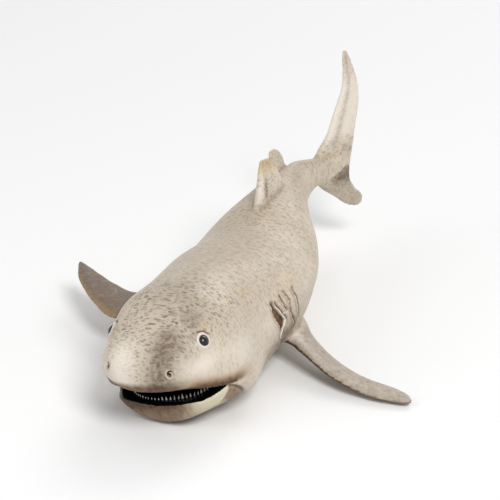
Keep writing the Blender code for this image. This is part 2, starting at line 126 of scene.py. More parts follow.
# Fins, each row: leading point, trailing point, thickness. Pectorals are in floor coordinates
# (out, back, up) beside the shoulder, the others in body coordinates.
LEFT_PECTORAL = np.array([
    (13.0, -10.5, 8.8, 13.0, 9.5, 8.0, 5.4),
    (17.4, -8.2, 7.6, 17.0, 7.5, 6.8, 4.0),
    (22.2, -11.1, 6.6, 21.2, 1.6, 5.2, 3.0),
    (32.5, -17.6, 3.8, 33.2, -8.1, 2.3, 2.4),
    (38.7, -19.9, 2.5, 41.3, -12.3, 1.7, 2.1),
    (46.8, -21.3, 1.6, 48.3, -14.0, 1.3, 1.8),
    (52.5, -21.1, 1.3, 53.0, -16.8, 1.2, 1.5),
    (54.4, -20.3, 1.2, 54.5, -19.3, 1.2, 1.2),
])
RIGHT_PECTORAL = np.array([
    (-13.0, -9.5, 9.2, -13.0, 8.0, 9.2, 5.4),
    (-19.0, -11.0, 9.0, -19.0, 6.0, 9.0, 4.0),
    (-25.0, -12.4, 9.0, -25.0, 5.2, 8.6, 3.0),
    (-31.6, -11.5, 8.8, -31.2, 5.2, 8.6, 2.5),
    (-38.6, -6.0, 9.2, -38.3, 8.1, 9.0, 2.1),
    (-44.2, 0.4, 9.6, -44.8, 12.1, 9.6, 1.8),
    (-49.6, 8.4, 10.0, -50.0, 15.4, 10.2, 1.5),
    (-52.2, 15.0, 10.4, -52.3, 16.6, 10.4, 1.2),
])
FIRST_DORSAL = np.array([
    (82.6, 0.0, 26.0, 103.4, 3.0, 26.0, 5.4),
    (85.3, 0.0, 30.5, 102.4, 2.8, 30.0, 3.8),
    (89.4, -0.1, 36.0, 100.6, 2.3, 35.5, 2.5),
    (91.6, -0.1, 39.9, 99.3, 1.2, 38.8, 1.8),
    (93.2, -0.1, 41.5, 97.7, 0.7, 40.8, 1.3),
])
SECOND_DORSAL = np.array([
    (104.3, -1.0, 26.0, 118.0, -1.0, 26.0, 3.0),
    (105.2, -1.5, 31.0, 117.4, -1.5, 30.2, 2.2),
    (106.3, -1.9, 35.6, 116.3, -1.9, 34.6, 1.8),
    (107.2, -2.4, 38.2, 113.8, -2.4, 37.5, 1.4),
    (108.3, -2.6, 38.8, 111.6, -2.6, 38.5, 1.2),
])
PELVIC = np.array([
    (84.0, 5.0, 9.0, 95.0, 4.5, 10.0, 3.0),
    (86.0, 7.6, 6.2, 96.0, 6.6, 7.4, 2.0),
    (90.0, 9.6, 3.9, 98.0, 8.4, 5.2, 1.5),
    (94.5, 11.0, 2.7, 98.8, 9.8, 3.6, 1.2),
])
# Tail fin in its own plane from the tail root: lead (back, up), trail (back, up), thickness
TAIL_FIN = np.array([
    (10.7, -14.7, 13.0, -14.0, 1.1),
    (7.8, -13.6, 13.5, -12.2, 1.6),
    (3.5, -9.9, 11.3, -9.1, 2.5),
    (-1.3, -5.6, 9.8, -5.4, 3.5),
    (-4.0, 0.0, 11.0, -0.6, 4.4),
    (0.0, 5.0, 13.0, 4.2, 3.5),
    (4.4, 9.3, 14.9, 9.3, 2.7),
    (7.6, 14.3, 17.1, 14.5, 2.3),
    (10.3, 18.3, 18.1, 18.6, 2.0),
    (12.6, 22.3, 18.3, 22.6, 1.7),
    (13.6, 26.7, 17.6, 27.0, 1.4),
    (14.1, 30.2, 16.7, 30.4, 1.2),
    (14.5, 32.2, 15.8, 32.2, 1.1),
])


@dataclass(frozen=True)
class TailPlane:
    """Where the tail fin's plane stands."""

    root_along: float = 134.0
    heading_along: float = 137.0
    root_up: float = 25.0
    tilt: float = 8.0


@dataclass(frozen=True)
class MouthSizes:
    """The two lip lines, each (along, up) from the front to the corner, and the gullet."""

    upper: tuple = ((1.5, 13.2), (5.0, 13.1), (10.0, 11.8), (14.0, 10.5), (18.2, 9.3))
    lower: tuple = ((8.6, 7.8), (12.8, 8.0), (16.0, 8.6), (18.2, 9.1))
    twist: float = 0.09
    reach: float = 24.0
    gullet_along: float = 19.0
    gullet_up: float = 8.8
    gullet_length: float = 18.4
    gullet_width: float = 23.0
    gullet_height: float = 9.2
    teeth: int = 29
    tooth_height: float = 0.95
    tooth_width: float = 0.6
    tooth_set_back: float = 0.25
    tooth_spread: float = 78.0
    upper_teeth: float = 0.55
    upper_teeth_back: float = 1.6


@dataclass(frozen=True)
class EyeSizes:
    """An eye on the skin: its place, the ball and the lid round it."""

    along: float = 12.5
    angle: float = 37.0
    ball_radius: float = 1.78
    sunk: float = 0.82
    lid_radius: float = 1.56
    lid_half_thickness: float = 0.33
    fold_radius: float = 2.3


@dataclass(frozen=True)
class NostrilSizes:
    """A nostril: a small pit with a curled flap round it."""

    along: float = 2.0
    angle: float = 21.5
    radius: float = 1.05
    flap_half_thickness: float = 0.24
    pit_radius: float = 0.95
    pit_depth: float = 0.55


@dataclass(frozen=True)
class GillRidge:
    """The free edge of one gill flap: angles round the body and the place along it at each.

    The skin rises to the edge by `rise` and falls behind it by `slit` over the length `run`, and
    `depth` is how strong the painted shade in the slit is.
    """

    angles: tuple
    alongs: tuple
    rise: float
    slit: float
    run: float
    depth: float


GILLS = (
    GillRidge(
        (-9.0, -1.0, 2.0, 7.0, 11.0, 16.0, 22.0, 25.0),
        (43.6, 44.0, 44.3, 43.5, 42.6, 42.3, 42.6, 43.0), 0.3, 1.0, 3.6, 0.9,
    ),
    GillRidge(
        (-11.0, -6.0, -2.0, 0.5, 3.0, 7.0, 10.0, 15.0, 18.0, 23.0),
        (44.6, 45.1, 45.9, 47.1, 48.1, 47.5, 46.7, 45.8, 45.1, 45.0), 0.4, 0.55, 1.3, 0.6,
    ),
    GillRidge((8.0, 11.0, 16.0, 21.0, 25.0), (49.5, 49.0, 48.6, 48.3, 48.5), 0.3, 0.5, 1.0, 0.55),
    GillRidge(
        (-18.0, -15.0, -6.0, 3.0, 9.0, 13.0, 18.0, 21.0, 25.0),
        (51.7, 52.8, 52.5, 51.4, 51.3, 52.0, 51.5, 51.2, 50.8), 0.4, 0.7, 1.4, 0.75,
    ),
    GillRidge(
        (-19.0, -15.0, -9.0, -1.0, 7.0, 13.0, 18.0, 23.0),
        (53.7, 54.7, 55.4, 55.7, 55.7, 55.8, 55.4, 56.2), 0.36, 0.55, 1.2, 0.65,
    ),
)
GILL_BRIDGE = GillRidge((5.6, 8.0, 9.0), (51.0, 49.4, 47.4), 0.0, 0.0, 1.0, 0.0)
GILL_FOOT_RIGHT = 3.0
GILL_EDGE_RADIUS = 0.3


@dataclass(frozen=True)
class Zone:
    """A soft patch of paint on the body, in skin coordinates, 0 degrees on the left side."""

    paint: str
    along: float
    length: float
    angle: float
    spread: float
    amount: float


# Soft patches of paint. The pale ones are pale paint with painted highlight on the snout, cheeks
# and flanks; the grey-brown ones low on the sides (angles below 0 or past 180) are painted shade,
# the others grey-brown paint.
ZONES = (
    Zone("pale", 9.0, 6.0, 13.0, 13.0, 0.95),
    Zone("pale", 22.0, 7.0, 10.0, 15.0, 0.75),
    Zone("pale", 31.0, 6.0, -10.0, 13.0, 0.6),
    Zone("pale", 10.0, 6.0, 165.0, 20.0, 0.8),
    Zone("pale", 22.0, 8.0, 170.0, 18.0, 0.6),
    Zone("pale", 41.0, 8.0, 12.0, 14.0, 0.45),
    Zone("pale", 41.0, 8.0, 168.0, 14.0, 0.45),
    Zone("pale", 66.0, 9.0, 14.0, 12.0, 0.25),
    Zone("smoke", 24.0, 10.0, 86.0, 30.0, 0.32),
    Zone("smoke", 15.0, 3.4, 62.0, 12.0, 0.45),
    Zone("smoke", 11.0, 2.2, 47.0, 6.0, 0.5),
    Zone("smoke", 11.0, 2.2, 133.0, 6.0, 0.3),
    Zone("smoke", 49.0, 7.0, -13.0, 13.0, 0.85),
    Zone("smoke", 48.0, 4.0, -32.0, 10.0, 0.4),
    Zone("smoke", 41.0, 8.0, -18.0, 13.0, 0.4),
    Zone("smoke", 41.0, 8.0, 198.0, 13.0, 0.4),
    Zone("smoke", 56.0, 6.0, 188.0, 12.0, 0.5),
    Zone("ochre", 15.8, 1.2, 48.0, 4.0, 0.55),
    Zone("ochre", 46.0, 4.0, 24.0, 7.0, 0.2),
    Zone("ochre", 56.0, 5.0, 27.0, 8.0, 0.3),
    Zone("ochre", 56.0, 5.0, 153.0, 8.0, 0.3),
    Zone("ochre", 36.0, 3.0, 46.0, 4.0, 0.25),
)


@dataclass(frozen=True)
class Swelling:
    """A soft rise or hollow on both sides of the body: its height and place, lengths in mm."""

    name: str
    height: float
    along: float
    length: float
    angle: float
    spread: float


SWELLINGS = (
    Swelling("cheek", 1.2, 28.0, 5.5, -24.0, 18.0),
    Swelling("groove behind the jaw", -0.5, 37.0, 3.0, -24.0, 22.0),
    Swelling("brow", 0.45, 13.0, 4.0, 50.0, 11.0),
    Swelling("hollow under the eye", -0.3, 11.5, 3.5, 21.0, 10.0),
    Swelling("muzzle", 0.35, 6.0, 4.0, 10.0, 15.0),
    Swelling("roll of the lip", 0.3, 14.0, 9.0, -14.0, 6.0),
)


@dataclass(frozen=True)
class Lamp:
    """A round lamp: its place in metres, how wide its disk is and its power in watts."""

    name: str
    place: tuple
    width: float
    power: float


LAMPS = (
    Lamp("key", (0.55, -0.55, 0.85), 0.5, 8.0),
    Lamp("fill", (-0.75, -0.6, 0.5), 0.7, 2.5),
    Lamp("rim", (0.1, 0.9, 0.7), 0.6, 3.0),
)
LAMP_TARGET = (0.0, 0.02, 0.02)
WORLD_STRENGTH = 0.42


@dataclass(frozen=True)
class MeshFineness:
    """How fine the skin is made, in mm and counts."""

    voxel: float = 0.48
    body_rings: int = 190
    body_sides: int = 168
    fin_rings: int = 60
    fin_sides: int = 48
    relax_all: int = 3
    relax_seams: int = 9


@dataclass(frozen=True)
class Tone:
    """A painted colour, as sRGB from 0 to 255."""

    red: float
    green: float
    blue: float

    def linear(self):
        """Returns the colour as linear RGBA.

        Returns:
            A tuple of four floats.
        """
        values = []
        for value in (self.red, self.green, self.blue):
            share = value / 255.0
            values.append(share / 12.92 if share <= 0.04045 else ((share + 0.055) / 1.055) ** 2.4)
        return tuple(values) + (1.0,)


class Paint(Enum):
    """The paints of the figurine, among them the tones laid as painted highlight and painted shade.
    """

    BASE = Tone(194, 181, 163)
    WARM = Tone(205, 193, 175)
    BACK = Tone(178, 162, 142)
    # pale paint, also laid as painted highlight on ridges, gill edges, the snout, the cheeks and
    # the tail fin
    PALE = Tone(228, 219, 207)
    # grey-brown paint of the head, also laid as painted shade on the lower flanks, the right
    # pectoral fin and the tail fin
    SMOKE = Tone(106, 91, 76)
    FLECK = Tone(104, 86, 73)
    OCHRE = Tone(206, 176, 116)
    # brown of the lips and jaw, also laid as painted shade in creases, gill slits and folds and
    # under the snout and cheeks
    WASH = Tone(88, 62, 38)
    # brown tint that darkens what is below: brown on the jaw and lips, and painted shade in creases
    # and gill slits
    STAIN = Tone(150, 112, 66)
    # darkest brown: painted shade in the gill slits, nostril pits, deepest creases and under the
    # snout, and the dark gum
    DEEP = Tone(38, 26, 17)
    LIP = Tone(178, 152, 120)
    JAW = Tone(212, 203, 176)
    BLACK = Tone(7, 6, 6)
    TOOTH = Tone(236, 232, 222)
    EYE = Tone(5, 4, 4)


def ease(value):
    """Rises smoothly from 0 to 1.

    Args:
        value: numbers of any size; below 0 gives 0, above 1 gives 1.

    Returns:
        An array of the same shape.
    """
    value = np.clip(value, 0.0, 1.0)
    return value * value * (3.0 - 2.0 * value)


def fade(value, start, end):
    """Goes smoothly from 0 at the start to 1 at the end, which may lie below the start.

    Args:
        value: where to read it.
        start, end: the places where it is 0 and 1.

    Returns:
        Values from 0 to 1.
    """
    return ease((value - start) / (end - start))


def bump(value, centre, width):
    """A smooth hump round a centre.

    Args:
        value: where to read it.
        centre: the place of its top.
        width: how far from the centre it has fallen to a third.

    Returns:
        Values from 0 to 1.
    """
    return np.exp(-(((value - centre) / width) ** 2))


def smooth_curve(known, values, wanted):
    """Reads a smooth curve through known points, without overshoot between them.

    Args:
        known: rising places of the points.
        values: the value at each.
        wanted: the places to read.

    Returns:
        An array like wanted.
    """
    known = np.asarray(known, float)
    values = np.asarray(values, float)
    wanted = np.clip(np.asarray(wanted, float), known[0], known[-1])
    step = np.diff(known)
    rise = np.diff(values) / step
    slope = np.zeros_like(values)
    same_way = rise[:-1] * rise[1:] > 0.0
    near = 2.0 * step[1:] + step[:-1]
    far = step[1:] + 2.0 * step[:-1]
    before = np.where(same_way, rise[:-1], 1.0)
    after = np.where(same_way, rise[1:], 1.0)
    slope[1:-1] = np.where(same_way, (near + far) / (near / before + far / after), 0.0)
    slope[0] = rise[0]
    slope[-1] = rise[-1]
    index = np.clip(np.searchsorted(known, wanted, side="right") - 1, 0, len(step) - 1)
    run = step[index]
    part = (wanted - known[index]) / run
    result = (1.0 + 2.0 * part) * (1.0 - part) ** 2 * values[index]
    result = result + part * (1.0 - part) ** 2 * run * slope[index]
    result = result + part ** 2 * (3.0 - 2.0 * part) * values[index + 1]
    return result + part ** 2 * (part - 1.0) * run * slope[index + 1]


def ball_rings(turns, tilts, end):
    """The directions of a ball's surface in rings from pole to pole.

    Args:
        turns, tilts: points in a ring, and rings.
        end: the angle from the pole of the first and the last ring.

    Returns:
        Three arrays (tilts, turns): toward the pole and the two ways across.
    """
    turn = np.linspace(0.0, 2.0 * math.pi, turns, endpoint=False)[None, :]
    tilt = np.linspace(end, math.pi - end, tilts)[:, None]
    return np.cos(tilt) + 0.0 * turn, np.sin(tilt) * np.cos(turn), np.sin(tilt) * np.sin(turn)


class BodyForm:
    """The form of the body, and the way between its coordinates and the part's frame."""

    def __init__(self, pose):
        """Works out the middle line.

        Args:
            pose: a Pose.
        """
        self.pose = pose
        self.length = float(SECTIONS[-1, 0])
        self.line_along = np.linspace(0.0, self.length, pose.steps)
        turn = self.heading(self.line_along)
        pace = self.line_along[1] - self.line_along[0]
        middle = (turn[1:] + turn[:-1]) / 2.0
        side = np.concatenate([[0.0], np.cumsum(np.sin(middle)) * pace])
        back = np.concatenate([[0.0], np.cumsum(np.cos(middle)) * pace])
        self.line_side = side - np.interp(pose.flat_along, self.line_along, side)
        self.line_back = back - np.interp(pose.flat_along, self.line_along, back)

    def heading(self, along):
        """Gives the direction of the middle line in the plan.

        Args:
            along: places in mm.

        Returns:
            Radians from +Y toward +X.
        """
        pose = self.pose
        head = pose.head_turn * (1.0 - ease(along / pose.head_turn_length))
        run = pose.tail_turn_end - pose.tail_turn_start
        tail = pose.tail_turn * ease((along - pose.tail_turn_start) / run)
        return np.radians(head + tail)

    def middle_line(self, along):
        """Gives the plan position of the middle line, straight on past both of its ends.

        Args:
            along: places in mm.

        Returns:
            Two arrays, to the side and back.
        """
        along = np.asarray(along, float)
        inside = np.clip(along, 0.0, self.length)
        extra = along - inside
        turn = self.heading(inside)
        side = np.interp(inside, self.line_along, self.line_side) + extra * np.sin(turn)
        back = np.interp(inside, self.line_along, self.line_back) + extra * np.cos(turn)
        return side, back

    def lean_over(self, points):
        """Leans upright points onto the right side and sets the belly flat on the floor.

        Args:
            points: an array (..., 3).

        Returns:
            The points in the part's frame.
        """
        angle = math.radians(self.pose.lean)
        cos, sin = math.cos(angle), math.sin(angle)
        points = np.asarray(points, float)
        x = points[..., 0] * cos - points[..., 2] * sin - self.pose.flat_out
        z = points[..., 0] * sin + points[..., 2] * cos - self.pose.belly_cut
        return np.stack([x, points[..., 1], z], axis=-1)

    def place(self, along, out, up):
        """Turns body coordinates into the part's frame.

        Args:
            along, out, up: body coordinates, arrays or numbers.

        Returns:
            An array (..., 3).
        """
        along, out, up = np.broadcast_arrays(*(np.asarray(v, float) for v in (along, out, up)))
        turn = self.heading(along)
        side, back = self.middle_line(along)
        return self.lean_over(
            np.stack([side + out * np.cos(turn), back - out * np.sin(turn), up], axis=-1)
        )

    def read(self, points):
        """Turns points of the part's frame into body coordinates.

        Args:
            points: an array (n, 3).

        Returns:
            Three arrays: along, out, up.
        """
        angle = math.radians(self.pose.lean)
        x = points[:, 0] + self.pose.flat_out
        z = points[:, 2] + self.pose.belly_cut
        side = x * math.cos(angle) + z * math.sin(angle)
        up = -x * math.sin(angle) + z * math.cos(angle)
        back = points[:, 1]
        along = np.interp(back, self.line_back, self.line_along)
        along = along + np.minimum(back - self.line_back[0], 0.0)
        for _ in range(7):
            turn = self.heading(along)
            line_side, line_back = self.middle_line(along)
            ahead = (side - line_side) * np.sin(turn) + (back - line_back) * np.cos(turn)
            along = along + 0.8 * ahead
        turn = self.heading(along)
        line_side, line_back = self.middle_line(along)
        out = (side - line_side) * np.cos(turn) - (back - line_back) * np.sin(turn)
        return along, out, up

    def sizes(self, along):
        """Reads the sizes of the section at any place.

        Args:
            along: places in mm.

        Returns:
            Half width, top, bottom, widest height, upper power and lower power.
        """
        return [smooth_curve(SECTIONS[:, 0], SECTIONS[:, k], along) for k in range(1, 7)]

    def skin(self, along, degrees):
        """Points of the skin by skin coordinates.

        Args:
            along: places in mm.
            degrees: angles round the body.

        Returns:
            An array (..., 3) in the part's frame.
        """
        along, degrees = np.broadcast_arrays(np.asarray(along, float), np.asarray(degrees, float))
        half_width, top, bottom, widest, upper, lower = self.sizes(along)
        power = self.pose.snout_power
        left = np.clip(1.0 - along / self.pose.snout_round, 0.0, 1.0)
        close = (1.0 - left ** power) ** (1.0 / power)
        across = np.cos(np.radians(degrees))
        rise = np.sin(np.radians(degrees))
        bend = np.where(rise > 0.0, upper, lower)
        reach = np.where(rise > 0.0, top - widest, widest - bottom)
        out = half_width * close * np.sign(across) * np.abs(across) ** (2.0 / bend)
        up = widest + reach * close * np.sign(rise) * np.abs(rise) ** (2.0 / bend)
        return self.place(along, out + self.jaw_offset(along, up, widest, bottom), up)

    def jaw_offset(self, along, up, widest, bottom):
        """How far the lower jaw sits to one side of the skull.

        Args:
            along, up: where, in body coordinates.
            widest, bottom: the section's sizes there.

        Returns:
            The offset in mm, none above the widest line and behind the jaw.
        """
        pose = self.pose
        front = ease((pose.jaw_shift_end - along) / pose.jaw_shift_run)
        return pose.jaw_shift * front * fade(up, widest, bottom)

    def swell(self, along, out, up):
        """How far out of the middle a point lies, as a share: 1 is on the skin.

        Args:
            along, out, up: body coordinates.

        Returns:
            The share, and the angle round the body in degrees.
        """
        half_width, top, bottom, widest, upper, lower = self.sizes(along)
        high = up > widest
        out = out - self.jaw_offset(along, up, widest, bottom)
        bend = np.where(high, upper, lower)
        reach = np.where(high, top - widest, widest - bottom)
        wide = np.abs(out) / half_width
        tall = np.abs(up - widest) / reach
        share = (wide ** bend + tall ** bend + 1e-12) ** (1.0 / bend)
        power = self.pose.snout_power
        left = np.clip(1.0 - along / self.pose.snout_round, 0.0, 2.0)
        total = (share ** power + left ** power) ** (1.0 / power)
        across = np.sign(out) * wide ** (bend / 2.0)
        rise = np.where(high, 1.0, -1.0) * tall ** (bend / 2.0)
        return total, np.degrees(np.arctan2(rise, across + 1e-9))

    def height(self, along, out, up):
        """The rough distance of points from the skin, minus inside.

        Args:
            along, out, up: body coordinates.

        Returns:
            The distance in mm and the angle round the body in degrees.
        """
        near = 0.05
        share, degrees = self.swell(along, out, up)
        steps = [
            self.swell(along + near, out, up)[0] - share,
            self.swell(along, out + near, up)[0] - share,
            self.swell(along, out, up + near)[0] - share,
        ]
        steep = np.sqrt(steps[0] ** 2 + steps[1] ** 2 + steps[2] ** 2) / near
        return (share - 1.0) / np.maximum(steep, 0.02), degrees

    def frame_at(self, along, degrees):
        """A point of the skin with the ways toward the tail, round the body and outward.

        Args:
            along, degrees: skin coordinates, single numbers.

        Returns:
            Four arrays of three numbers.
        """
        point = self.skin(along, degrees)
        toward_tail = self.skin(along + 0.2, degrees) - self.skin(along - 0.2, degrees)
        toward_tail = toward_tail / np.linalg.norm(toward_tail)
        around = self.skin(along, degrees + 1.0) - self.skin(along, degrees - 1.0)
        outward = np.cross(around, toward_tail)
        outward = outward / np.linalg.norm(outward)
        widest = self.sizes(np.asarray(along, float))[3]
        if np.dot(outward, point - self.place(along, 0.0, widest)) < 0.0:
            outward = -outward
        around = np.cross(outward, toward_tail)
        return point, toward_tail, around, outward

    def folded(self, degrees):
        """Gives every angle as it would be on the left side.

        Args:
            degrees: angles round the body.

        Returns:
            Angles from -90 to 90.
        """
        return np.where(np.abs(degrees) > 90.0, np.sign(degrees) * 180.0 - degrees, degrees)

    def girth_place(self, along, degrees):
        """How far round the body a place lies from the top line, in mm.

        Args:
            along, degrees: skin coordinates.

        Returns:
            The length round the girth, less toward the left side.
        """
        half_width, top, bottom = self.sizes(np.clip(along, 3.0, None))[:3]
        turn = (degrees - 90.0 + 180.0) % 360.0 - 180.0
        return np.radians(turn) * (0.5 * half_width + 0.25 * (top - bottom))

    def angle_of(self, degrees, side):
        """Gives an angle of the left side on the wanted side.

        Args:
            degrees: the angle on the left side.
            side: a Side.

        Returns:
            The angle in degrees.
        """
        return degrees if side is Side.LEFT else 180.0 - degrees


class Grid:
    """Closed surfaces from rings of points, made with whole arrays."""

    @staticmethod
    def faces(rings, sides):
        """The faces between rings, row by row.

        Args:
            rings: how many rings.
            sides: points in each.

        Returns:
            A list of faces as tuples, with a cap at each end.
        """
        ring, side = np.meshgrid(np.arange(rings - 1), np.arange(sides), indexing="ij")
        here = ring * sides + side
        there = ring * sides + (side + 1) % sides
        quads = np.stack([here, there, there + sides, here + sides], axis=-1).reshape(-1, 4)
        first = tuple(range(sides))
        last = tuple(range((rings - 1) * sides, rings * sides))
        return quads.tolist() + [first, last]

    @staticmethod
    def object(name, points, faces):
        """Makes an object, still in millimetres, with its faces outward.

        Args:
            name: its name.
            points: an array (n, 3).
            faces: a list of faces.

        Returns:
            The object.
        """
        mesh = bpy.data.meshes.new(name)
        mesh.from_pydata(np.asarray(points, float).reshape(-1, 3).tolist(), [], faces)
        shape = bmesh.new()
        shape.from_mesh(mesh)
        bmesh.ops.recalc_face_normals(shape, faces=shape.faces)
        shape.to_mesh(mesh)
        shape.free()
        item = bpy.data.objects.new(name, mesh)
        bpy.context.scene.collection.objects.link(item)
        return item

    @staticmethod
    def band_faces(rings, sides):
        """The faces of a ring-shaped surface, closed both ways.

        Args:
            rings: how many rings.
            sides: points in each.

        Returns:
            A list of faces.
        """
        ring, side = np.meshgrid(np.arange(rings), np.arange(sides), indexing="ij")
        here = ring * sides + side
        beside = ring * sides + (side + 1) % sides
        ahead = ((ring + 1) % rings) * sides
        quads = np.stack([here, beside, ahead + (side + 1) % sides, ahead + side], axis=-1)
        return quads.reshape(-1, 4).tolist()

    @classmethod
    def loft(cls, name, rings):
        """Makes a closed solid from an array of rings.

        Args:
            name: its name.
            rings: an array (rings, sides, 3).

        Returns:
            The object.
        """
        rings = np.asarray(rings, float)
        return cls.object(name, rings, cls.faces(rings.shape[0], rings.shape[1]))


class Fin:
    """A fin lofted from rows of a leading point, a trailing point and a thickness."""

    def __init__(self, name, lead, trail, thickness, fineness):
        """Works out the rings of the fin.

        Args:
            name: its name.
            lead, trail: arrays (rows, 3) in the part's frame.
            thickness: an array (rows,).
            fineness: a MeshFineness.
        """
        self.name = name
        middle = (lead + trail) / 2.0
        pace = np.linalg.norm(np.diff(middle, axis=0), axis=1)
        known = np.concatenate([[0.0], np.cumsum(pace)])
        wanted = known[-1] * np.linspace(0.0, 1.0, fineness.fin_rings)
        self.lead = np.stack([smooth_curve(known, lead[:, k], wanted) for k in range(3)], axis=1)
        self.trail = np.stack([smooth_curve(known, trail[:, k], wanted) for k in range(3)], axis=1)
        self.thick = smooth_curve(known, thickness, wanted)
        self.span = wanted / known[-1]
        self.size = (known[-1], float(np.linalg.norm(trail - lead, axis=1).mean()))
        chord = self.trail - self.lead
        run = np.gradient((self.lead + self.trail) / 2.0, axis=0)
        normal = np.cross(run, chord)
        self.normal = normal / np.linalg.norm(normal, axis=1, keepdims=True)
        turn = np.linspace(0.0, 2.0 * math.pi, fineness.fin_sides, endpoint=False)
        share = (1.0 - np.sign(np.cos(turn)) * np.abs(np.cos(turn)) ** 0.9) / 2.0
        height = np.sign(np.sin(turn)) * np.abs(np.sin(turn)) ** 0.72
        height = height * (1.0 - 0.22 * share)
        self.rings = (
            self.lead[:, None, :]
            + share[None, :, None] * chord[:, None, :]
            + height[None, :, None] * self.normal[:, None, :] * self.thick[:, None, None] / 2.0
        )

    def solid(self):
        """Makes the fin as a closed solid.

        Returns:
            The object.
        """
        return Grid.loft(self.name, self.rings)

    def locate(self, points):
        """Finds where points lie on the fin.

        Args:
            points: an array (n, 3) near the fin.

        Returns:
            The share of the span, the share of the chord from the leading edge, the side of the
            sheet (+1 or -1) and the distance from the middle sheet.
        """
        share = np.linspace(0.0, 1.0, 25)
        sheet = self.lead[:, None, :] + share[None, :, None] * (self.trail - self.lead)[:, None, :]
        flat = sheet.reshape(-1, 3)
        span = np.repeat(self.span, len(share))
        chord = np.tile(share, len(self.span))
        normal = np.repeat(self.normal, len(share), axis=0)
        best = np.zeros(len(points), int)
        for start in range(0, len(points), 4000):
            part = points[start:start + 4000]
            square = (part ** 2).sum(1)[:, None] - 2.0 * part @ flat.T + (flat ** 2).sum(1)[None, :]
            best[start:start + 4000] = square.argmin(1)
        gap = points - flat[best]
        face = np.sign((gap * normal[best]).sum(1))
        return span[best], chord[best], face, np.linalg.norm(gap, axis=1)


class Mouth:
    """The open mouth: what is cut from the head, and the teeth."""

    def __init__(self, form, sizes):
        """Keeps the form and the sizes.

        Args:
            form: a BodyForm.
            sizes: a MouthSizes.
        """
        self.form = form
        self.sizes = sizes

    def head_point(self, along, out, up):
        """A point of the head in the straight frame of the lower lip's front.

        Args:
            along, out, up: coordinates in that frame.

        Returns:
            An array (..., 3) in the part's frame.
        """
        base = self.sizes.lower[0][0]
        turn = float(self.form.heading(base))
        side, back = self.form.middle_line(base)
        along, out, up = np.broadcast_arrays(*(np.asarray(v, float) for v in (along, out, up)))
        x = float(side) + math.sin(turn) * (along - base) + math.cos(turn) * out
        y = float(back) + math.cos(turn) * (along - base) - math.sin(turn) * out
        return self.form.lean_over(np.stack([x, y, up], axis=-1))

    def lip(self, line, along):
        """The height of a lip line.

        Args:
            line: the upper or the lower line of the sizes.
            along: places in mm.

        Returns:
            Heights before the twist.
        """
        line = np.asarray(line)
        return smooth_curve(line[:, 0], line[:, 1], along)

    def gap_cutter(self):
        """The gap between the lips, open to the front.

        Returns:
            The object.
        """
        upper = np.asarray(self.sizes.upper)
        lower = np.asarray(self.sizes.lower)
        over = np.linspace(upper[0, 0], upper[-1, 0], 26)
        under = np.linspace(lower[-1, 0], lower[0, 0], 18)
        outline = [(-6.0, upper[0, 1] + 0.2)]
        outline += list(zip(over, self.lip(upper, over)))
        outline += list(zip(under, self.lip(lower, under)))
        outline += [(lower[0, 0] - 1.3, lower[0, 1] - 0.9), (-6.0, 3.5)]
        outline = np.array(outline)
        outs = np.linspace(-self.sizes.reach, self.sizes.reach, 3)
        rings = [
            self.head_point(outline[:, 0], out, outline[:, 1] + self.sizes.twist * out)
            for out in outs
        ]
        return Grid.loft("cut_gap", rings)

    def gullet_cutter(self):
        """The hollow behind the lips.

        Returns:
            The object.
        """
        sizes = self.sizes
        across, round_x, round_z = ball_rings(56, 30, 0.02)
        out = across * sizes.gullet_width / 2.0
        along = sizes.gullet_along + round_x * sizes.gullet_length / 2.0
        up = sizes.gullet_up + round_z * sizes.gullet_height / 2.0 + sizes.twist * out
        return Grid.loft("cut_gullet", self.head_point(along, out, up))

    def teeth(self):
        """Two rows of small pointed teeth just inside the lips.

        Returns:
            The object, still in millimetres.
        """
        sizes = self.sizes
        count = sizes.teeth
        share = 2.0 * (np.arange(count) + 0.5) / count - 1.0
        sets = []
        rows = (sizes.lower, 1.0, 0.0), (sizes.upper, -1.0, sizes.upper_teeth_back)
        for line, point_way, offset in rows:
            edge = self.lip(line, sizes.gullet_along - sizes.gullet_length / 2.0 + 1.0)
            level = np.clip((edge - sizes.gullet_up) / (sizes.gullet_height / 2.0), -0.9, 0.9)
            shrink = math.sqrt(1.0 - float(level) ** 2)
            angle = np.radians(share * sizes.tooth_spread)
            back = sizes.tooth_set_back - offset
            along = sizes.gullet_along - (sizes.gullet_length / 2.0 * shrink + back) * np.cos(angle)
            out = (sizes.gullet_width / 2.0 * shrink + back) * np.sin(angle)
            up = self.lip(line, along) + sizes.twist * out
            uneven = np.random.default_rng(11).uniform(-1.0, 1.0, (3, count))
            full = 0.45 + 0.55 * fade(share, -0.25, 0.3)
            shown = 1.0 if point_way > 0.0 else sizes.upper_teeth
            height = sizes.tooth_height * full * (1.0 + 0.3 * uneven[0]) * shown
            wide = sizes.tooth_width * (0.65 + 0.35 * full) * (1.0 + 0.2 * uneven[1])
            wide = wide[:, None, None]
            turn = np.linspace(0.0, 2.0 * math.pi, 8, endpoint=False)
            levels = np.array([(-0.6, 1.0), (0.25, 0.7), (0.7, 0.32), (1.0, 0.05)])
            ring_along = np.cos(turn)[None, :] * levels[:, 1][:, None] * wide * 0.34
            ring_out = np.sin(turn)[None, :] * levels[:, 1][:, None] * wide * 0.5
            tilt = 0.16 * uneven[2][:, None, None]
            ring_out = ring_out + tilt * np.maximum(levels[:, 0], 0.0)[:, None]
            facing = np.cos(angle)[:, None, None], np.sin(angle)[:, None, None]
            a = along[:, None, None] + ring_along * facing[0] + ring_out * facing[1]
            o = out[:, None, None] - ring_along * facing[1] + ring_out * facing[0]
            u = up[:, None, None] + point_way * levels[:, 0][None, :, None] * height[:, None, None]
            u = u + np.zeros_like(a)
            sets.append(self.head_point(a, o, u))
        points = np.concatenate(sets)
        faces = []
        base = np.array(Grid.faces(4, 8)[:-2])
        for index in range(len(points)):
            faces += (base + index * 32).tolist()
            faces.append([index * 32 + 24 + k for k in range(8)])
            faces.append([index * 32 + k for k in range(8)])
        return Grid.object("teeth", points, faces)


